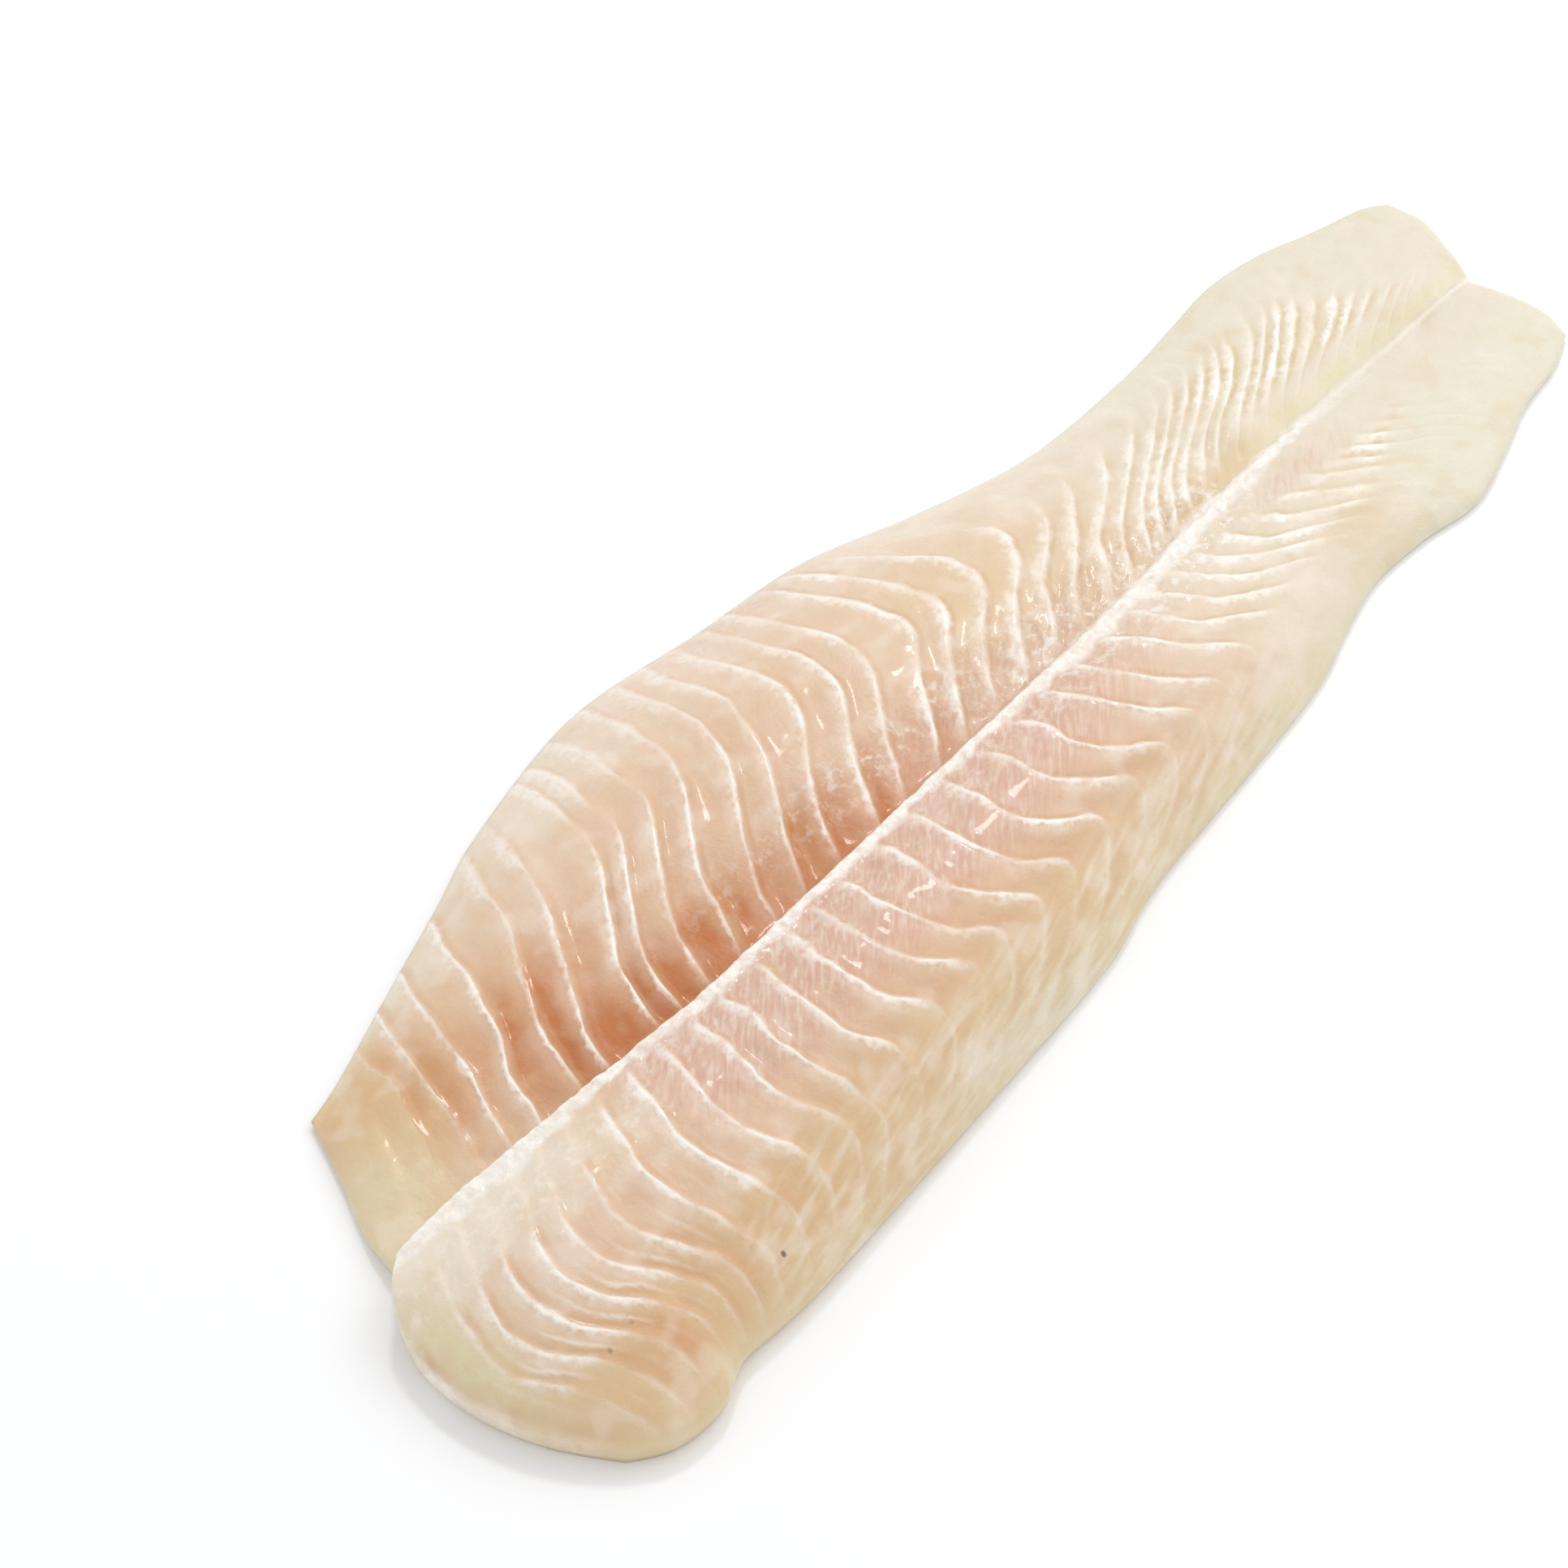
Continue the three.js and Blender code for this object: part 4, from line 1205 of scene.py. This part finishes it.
@dataclass
class HakeFillet:
    """The whole fillet, as one closed piece.

    Attributes:
        columns: Faces along the fillet.
        rows: Faces across each half.
        row_power: How much closer the rows lie at the spine: 1 for even rows.
        side_loops: Loops of faces up the side, from the foot to the rim.
        sole_step: Columns and rows of the top that one face of the underside covers.
        foot_inset: How far the side turns in under the fillet, as a share of the rim's thickness.
        foot_inset_most: The most that it turns in, in mm.
        sole_relief: Depth of the shallow marks on the underside, in mm.
        mark_share: Share of a block over which such a mark runs out.
    """

    columns: int = 680
    rows: int = 52
    row_power: float = 1.3
    side_loops: int = 3
    sole_step: int = 4
    foot_inset: float = 0.5
    foot_inset_most: float = 1.2
    sole_relief: float = 0.15
    mark_share: float = 0.2
    plan: FilletPlan = field(default_factory=FilletPlan)
    thickness: FilletThickness = field(default_factory=FilletThickness)
    zones: FleshZones = field(default_factory=FleshZones)
    flesh: RawHakeFlesh = field(default_factory=RawHakeFlesh)

    def __post_init__(self) -> None:
        """Lays out the muscle blocks on the plan."""
        self.muscle = MuscleBlocks(self.plan)

    def build(self) -> bpy.types.Object:
        """Models and dresses the fillet.

        Returns:
            The finished object, at the origin, riding on the frame.
        """
        piece = self.slab()
        points, zones = self.shape(*self.grid_places(piece))
        mesh = piece.data
        mesh.vertices.foreach_set("co", self.fit(points).ravel())
        for name, values in zones.items():
            layer = mesh.attributes.new(name, "FLOAT", "POINT")
            layer.data.foreach_set("value", values.astype(np.float32))
        mesh.update()
        self.close(piece)
        mesh.materials.clear()
        mesh.materials.append(self.flesh.material())
        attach(piece, "root")
        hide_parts(NODE)
        return piece

    def slab(self) -> bpy.types.Object:
        """A flat slab with the fillet's faces: a grid, extruded once for each loop of its side.

        Returns:
            The slab, whose vertices lie at -0.5 to 0.5 in x and y and 0 to side_loops in z.
        """
        bpy.ops.object.select_all(action="DESELECT")
        bpy.ops.mesh.primitive_grid_add(
            x_subdivisions=self.columns, y_subdivisions=2 * self.rows, size=1.0
        )
        piece = bpy.context.active_object
        piece.name = piece.data.name = "hake_fillet"
        bpy.ops.object.mode_set(mode="EDIT")
        bpy.ops.mesh.select_all(action="SELECT")
        for _ in range(self.side_loops):
            bpy.ops.mesh.extrude_region_move(TRANSFORM_OT_translate={"value": (0.0, 0.0, 1.0)})
        bpy.ops.object.mode_set(mode="OBJECT")
        for axis in (0, 1):
            self.thin_sole(piece, axis)
        return piece

    def thin_sole(self, piece: bpy.types.Object, axis: int) -> None:
        """Keeps only one line of edges in each sole_step on the plain underside.

        Args:
            piece: The slab.
            axis: 0 for the lines between columns, 1 for the lines between rows.
        """
        mesh = piece.data
        places = np.stack(self.grid_places(piece), axis=-1)
        ends = np.empty(len(mesh.edges) * 2, dtype=int)
        mesh.edges.foreach_get("vertices", ends)
        first, second = (places[ends.reshape(-1, 2)[:, end]] for end in (0, 1))
        last = (self.columns, self.rows)[axis]
        inside = (first[:, axis] > 0 if axis == 0 else first[:, axis] > -last) & (first[:, axis] < last)
        chosen = (first[:, 2] == 0) & (second[:, 2] == 0) & (first[:, axis] == second[:, axis])
        chosen &= inside & (first[:, axis] % self.sole_step != 0)
        bpy.ops.object.mode_set(mode="EDIT")
        bpy.ops.mesh.select_all(action="DESELECT")
        bpy.ops.mesh.select_mode(type="EDGE")
        bpy.ops.object.mode_set(mode="OBJECT")
        mesh.edges.foreach_set("select", chosen)
        bpy.ops.object.mode_set(mode="EDIT")
        bpy.ops.mesh.dissolve_edges(use_verts=True)
        bpy.ops.mesh.select_mode(type="VERT")
        bpy.ops.object.mode_set(mode="OBJECT")

    def grid_places(self, piece: bpy.types.Object) -> tuple[Array, Array, Array]:
        """Reads where each vertex of the slab belongs.

        Args:
            piece: The slab.

        Returns:
            Column, signed row (negative in the back half) and level of each vertex.
        """
        co = np.empty(len(piece.data.vertices) * 3)
        piece.data.vertices.foreach_get("co", co)
        co = co.reshape(-1, 3)
        column = np.rint((co[:, 0] + 0.5) * self.columns).astype(int)
        row = np.rint(co[:, 1] * 2 * self.rows).astype(int)
        return column, row, np.rint(co[:, 2]).astype(int)

    def half_grid(self, half: Half) -> HalfGrid:
        """Works out one half's surface.

        Args:
            half: Half of the fillet.

        Returns:
            Its grid.
        """
        steps = (np.arange(self.rows + 1) / self.rows) ** self.row_power
        spine_x, t = np.meshgrid(self.muscle.columns(self.columns + 1), steps, indexing="ij")
        phase = self.muscle.phase(half, spine_x)
        s = self.muscle.wall_share(half, spine_x, t)
        plan = self.plan.place(half, s, t)
        pitch = self.muscle.pitch(plan, phase)
        across = self.plan.place(half, s, np.ones_like(t)) - self.plan.place(half, s, np.zeros_like(t))
        width = np.linalg.norm(across, axis=-1)
        zones = self.zones.at(half, plan, t, (1 - t) * width, phase, pitch)
        top = self.thickness.at(half, s, t, plan, phase)
        top = top + self.thickness.fine(plan, phase, pitch, zones)
        rim = self.thickness.rim(half, plan[..., 0], t)
        return HalfGrid(s, t, width, phase, rim, top, zones)

    def shape(self, column: Array, row: Array, level: Array) -> tuple[Array, dict[str, Array]]:
        """Works out every vertex's place, in mm, and its zones.

        Args:
            column: Column of each vertex, from the head end.
            row: Signed row of each vertex, from the spine.
            level: Level of each vertex: 0 on the underside, side_loops on top.

        Returns:
            Places (..., 3), and for each zone a value for each vertex.
        """
        points = np.zeros((len(column), 3))
        zones = {name: np.zeros(len(column)) for name in ZONES}
        for half in Half:
            grid = self.half_grid(half)
            mine = row <= 0 if half is Half.BACK else row > 0
            at = (column[mine], np.abs(row[mine]))
            points[mine] = self.half_points(half, grid, at, level[mine] / self.side_loops)
            for name in ZONES:
                zones[name][mine] = grid.zones[name][at]
        return points, zones

    def half_points(self, half: Half, grid: HalfGrid, at: tuple[Array, Array], share: Array) -> Array:
        """Places of one half's vertices, in mm.

        Args:
            half: Half of the fillet.
            grid: Surface of that half.
            at: Column and row of each vertex.
            share: How far up the side each vertex's level is, from 0 to 1.

        Returns:
            Places (..., 3).
        """
        s, t, rim = grid.s[at], grid.t[at], grid.rim[at]
        # The side is a quarter round that starts under the rim and ends at the foot.
        tuck = np.minimum(self.foot_inset * rim, self.foot_inset_most)
        tuck = tuck * (1 - np.sqrt(1 - (1 - share) ** 2))
        inner_s = blend(tuck / SPINE_LENGTH, 1 - tuck / SPINE_LENGTH, s)
        plan = self.plan.place(half, inner_s, t * (1 - tuck / grid.width[at]))
        inland = fall(0.6, 0.9, t) * smooth(0, 0.05, s) * smooth(0, 0.05, 1 - s)
        marks = self.sole_relief * (1 - self.line(grid.phase[at])) * inland
        height = np.where(share >= 1, grid.top[at], np.where(share <= 0, marks, rim * share))
        return np.column_stack([plan, height])

    def line(self, phase: Array) -> Array:
        """1 at a wall between two blocks, 0 away from it."""
        fraction = phase % 1.0
        return fall(0.0, self.mark_share, np.minimum(fraction, 1 - fraction))

    def fit(self, points: Array) -> Array:
        """Fits the places to the frame's solid, in metres.

        Args:
            points: Places in mm.

        Returns:
            Places in metres, with the solid's box.
        """
        low, high = (np.array(corner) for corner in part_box(NODE))
        own_low, own_high = points.min(axis=0), points.max(axis=0)
        scale = (high - low) / (own_high - own_low)
        LOG.info("fit to the solid: %s mm per mm", np.round(scale / MM, 4))
        return low + (points - own_low) * scale

    @staticmethod
    def close(piece: bpy.types.Object) -> None:
        """Turns all faces outwards and shades them smooth.

        Args:
            piece: The fillet.
        """
        bpy.ops.object.select_all(action="DESELECT")
        piece.select_set(True)
        bpy.context.view_layer.objects.active = piece
        bpy.ops.object.mode_set(mode="EDIT")
        bpy.ops.mesh.select_all(action="SELECT")
        bpy.ops.mesh.normals_make_consistent(inside=False)
        bpy.ops.object.mode_set(mode="OBJECT")
        bpy.ops.object.shade_smooth()


# ---- Studio ----------------------------------------------------------------------------------


@dataclass
class Studio:
    """Plain white floor, soft light and the photograph's view.

    The view was worked out from the fillet's outline: from about 0.9 m, 52 degrees down.

    Attributes:
        eye: Camera's place, in metres.
        target: Point in the middle of the picture, in metres.
        lens: Focal length, in mm.
        sensor: Width of the sensor, in mm.
        sky: Strength of the even white light from all sides.
        sky_tint: Its linear colour, a little cool.
        lamp_tint: Linear colour of the lamps, a little warm.
        board: Colour of the floor.
        board_width: Width of the floor, in metres.
        lamps: Place (x, y, z) and size of each lamp, in metres, and its power in watts.
    """

    eye: tuple[float, float, float] = (-0.44178636, -0.34496514, 0.70920968)
    target: tuple[float, float, float] = (-0.02441627, 0.01948491, 0.0)
    lens: float = 122.25
    sensor: float = 36.0
    sky: float = 0.82
    sky_tint: tuple[float, float, float, float] = (0.97, 0.985, 1.0, 1.0)
    lamp_tint: tuple[float, float, float] = (1.0, 0.99, 0.97)
    board: str = "FAFAFB"
    board_width: float = 6.0
    lamps: Rows = ((1.0, -0.2, 1.25, 1.1, 5.5), (0.6, 0.55, 1.3, 0.2, 4.0))

    def build(self) -> None:
        """Sets up the floor, the light and the camera."""
        self.floor()
        self.light()
        self.camera()
        bpy.context.scene.view_settings.view_transform = "Standard"

    def floor(self) -> None:
        """A wide, matt white floor, on which only soft shadows show."""
        bpy.ops.object.select_all(action="DESELECT")
        bpy.ops.mesh.primitive_plane_add(size=self.board_width, location=(0, 0, 0))
        floor = bpy.context.active_object
        floor.name = "floor"
        material = bpy.data.materials.new("matt_white_board")
        material.use_nodes = True
        tree = material.node_tree
        tree.nodes.clear()
        surface = add_node(tree, "BsdfDiffuse", {"Color": linear_colour(self.board)})
        add_node(tree, "OutputMaterial", {"Surface": surface})
        floor.data.materials.append(material)

    def light(self) -> None:
        """An even white sky, a large soft lamp on the right and a small one for the wet glints."""
        world = bpy.data.worlds.new("white_sky")
        bpy.context.scene.world = world
        world.use_nodes = True
        background = world.node_tree.nodes["Background"]
        background.inputs["Color"].default_value = self.sky_tint
        background.inputs["Strength"].default_value = self.sky
        for x, y, z, size, power in self.lamps:
            lamp = bpy.data.lights.new("soft_lamp", "AREA")
            lamp.energy = power
            lamp.size = size
            lamp.color = self.lamp_tint
            holder = bpy.data.objects.new("soft_lamp", lamp)
            bpy.context.scene.collection.objects.link(holder)
            holder.location = (x, y, z)
            holder.rotation_euler = Vector((-x, -y, -z)).to_track_quat("-Z", "Y").to_euler()

    def camera(self) -> None:
        """The camera at the photograph's viewing angle."""
        data = bpy.data.cameras.new("camera")
        data.lens = self.lens
        data.sensor_width = self.sensor
        camera = bpy.data.objects.new("camera", data)
        bpy.context.scene.collection.objects.link(camera)
        camera.location = self.eye
        look = Vector(self.target) - Vector(self.eye)
        camera.rotation_euler = look.to_track_quat("-Z", "Y").to_euler()
        bpy.context.scene.camera = camera


def main() -> None:
    """Builds the fillet and its studio, and reports each piece."""
    logging.basicConfig(level=logging.INFO, format="%(name)s: %(message)s")
    fillet = HakeFillet().build()
    mesh = fillet.data
    LOG.info("%s: %d vertices, %d faces", fillet.name, len(mesh.vertices), len(mesh.polygons))
    Studio().build()
    LOG.info("studio: floor, sky, lamps and camera")


if __name__ == "__main__":
    main()
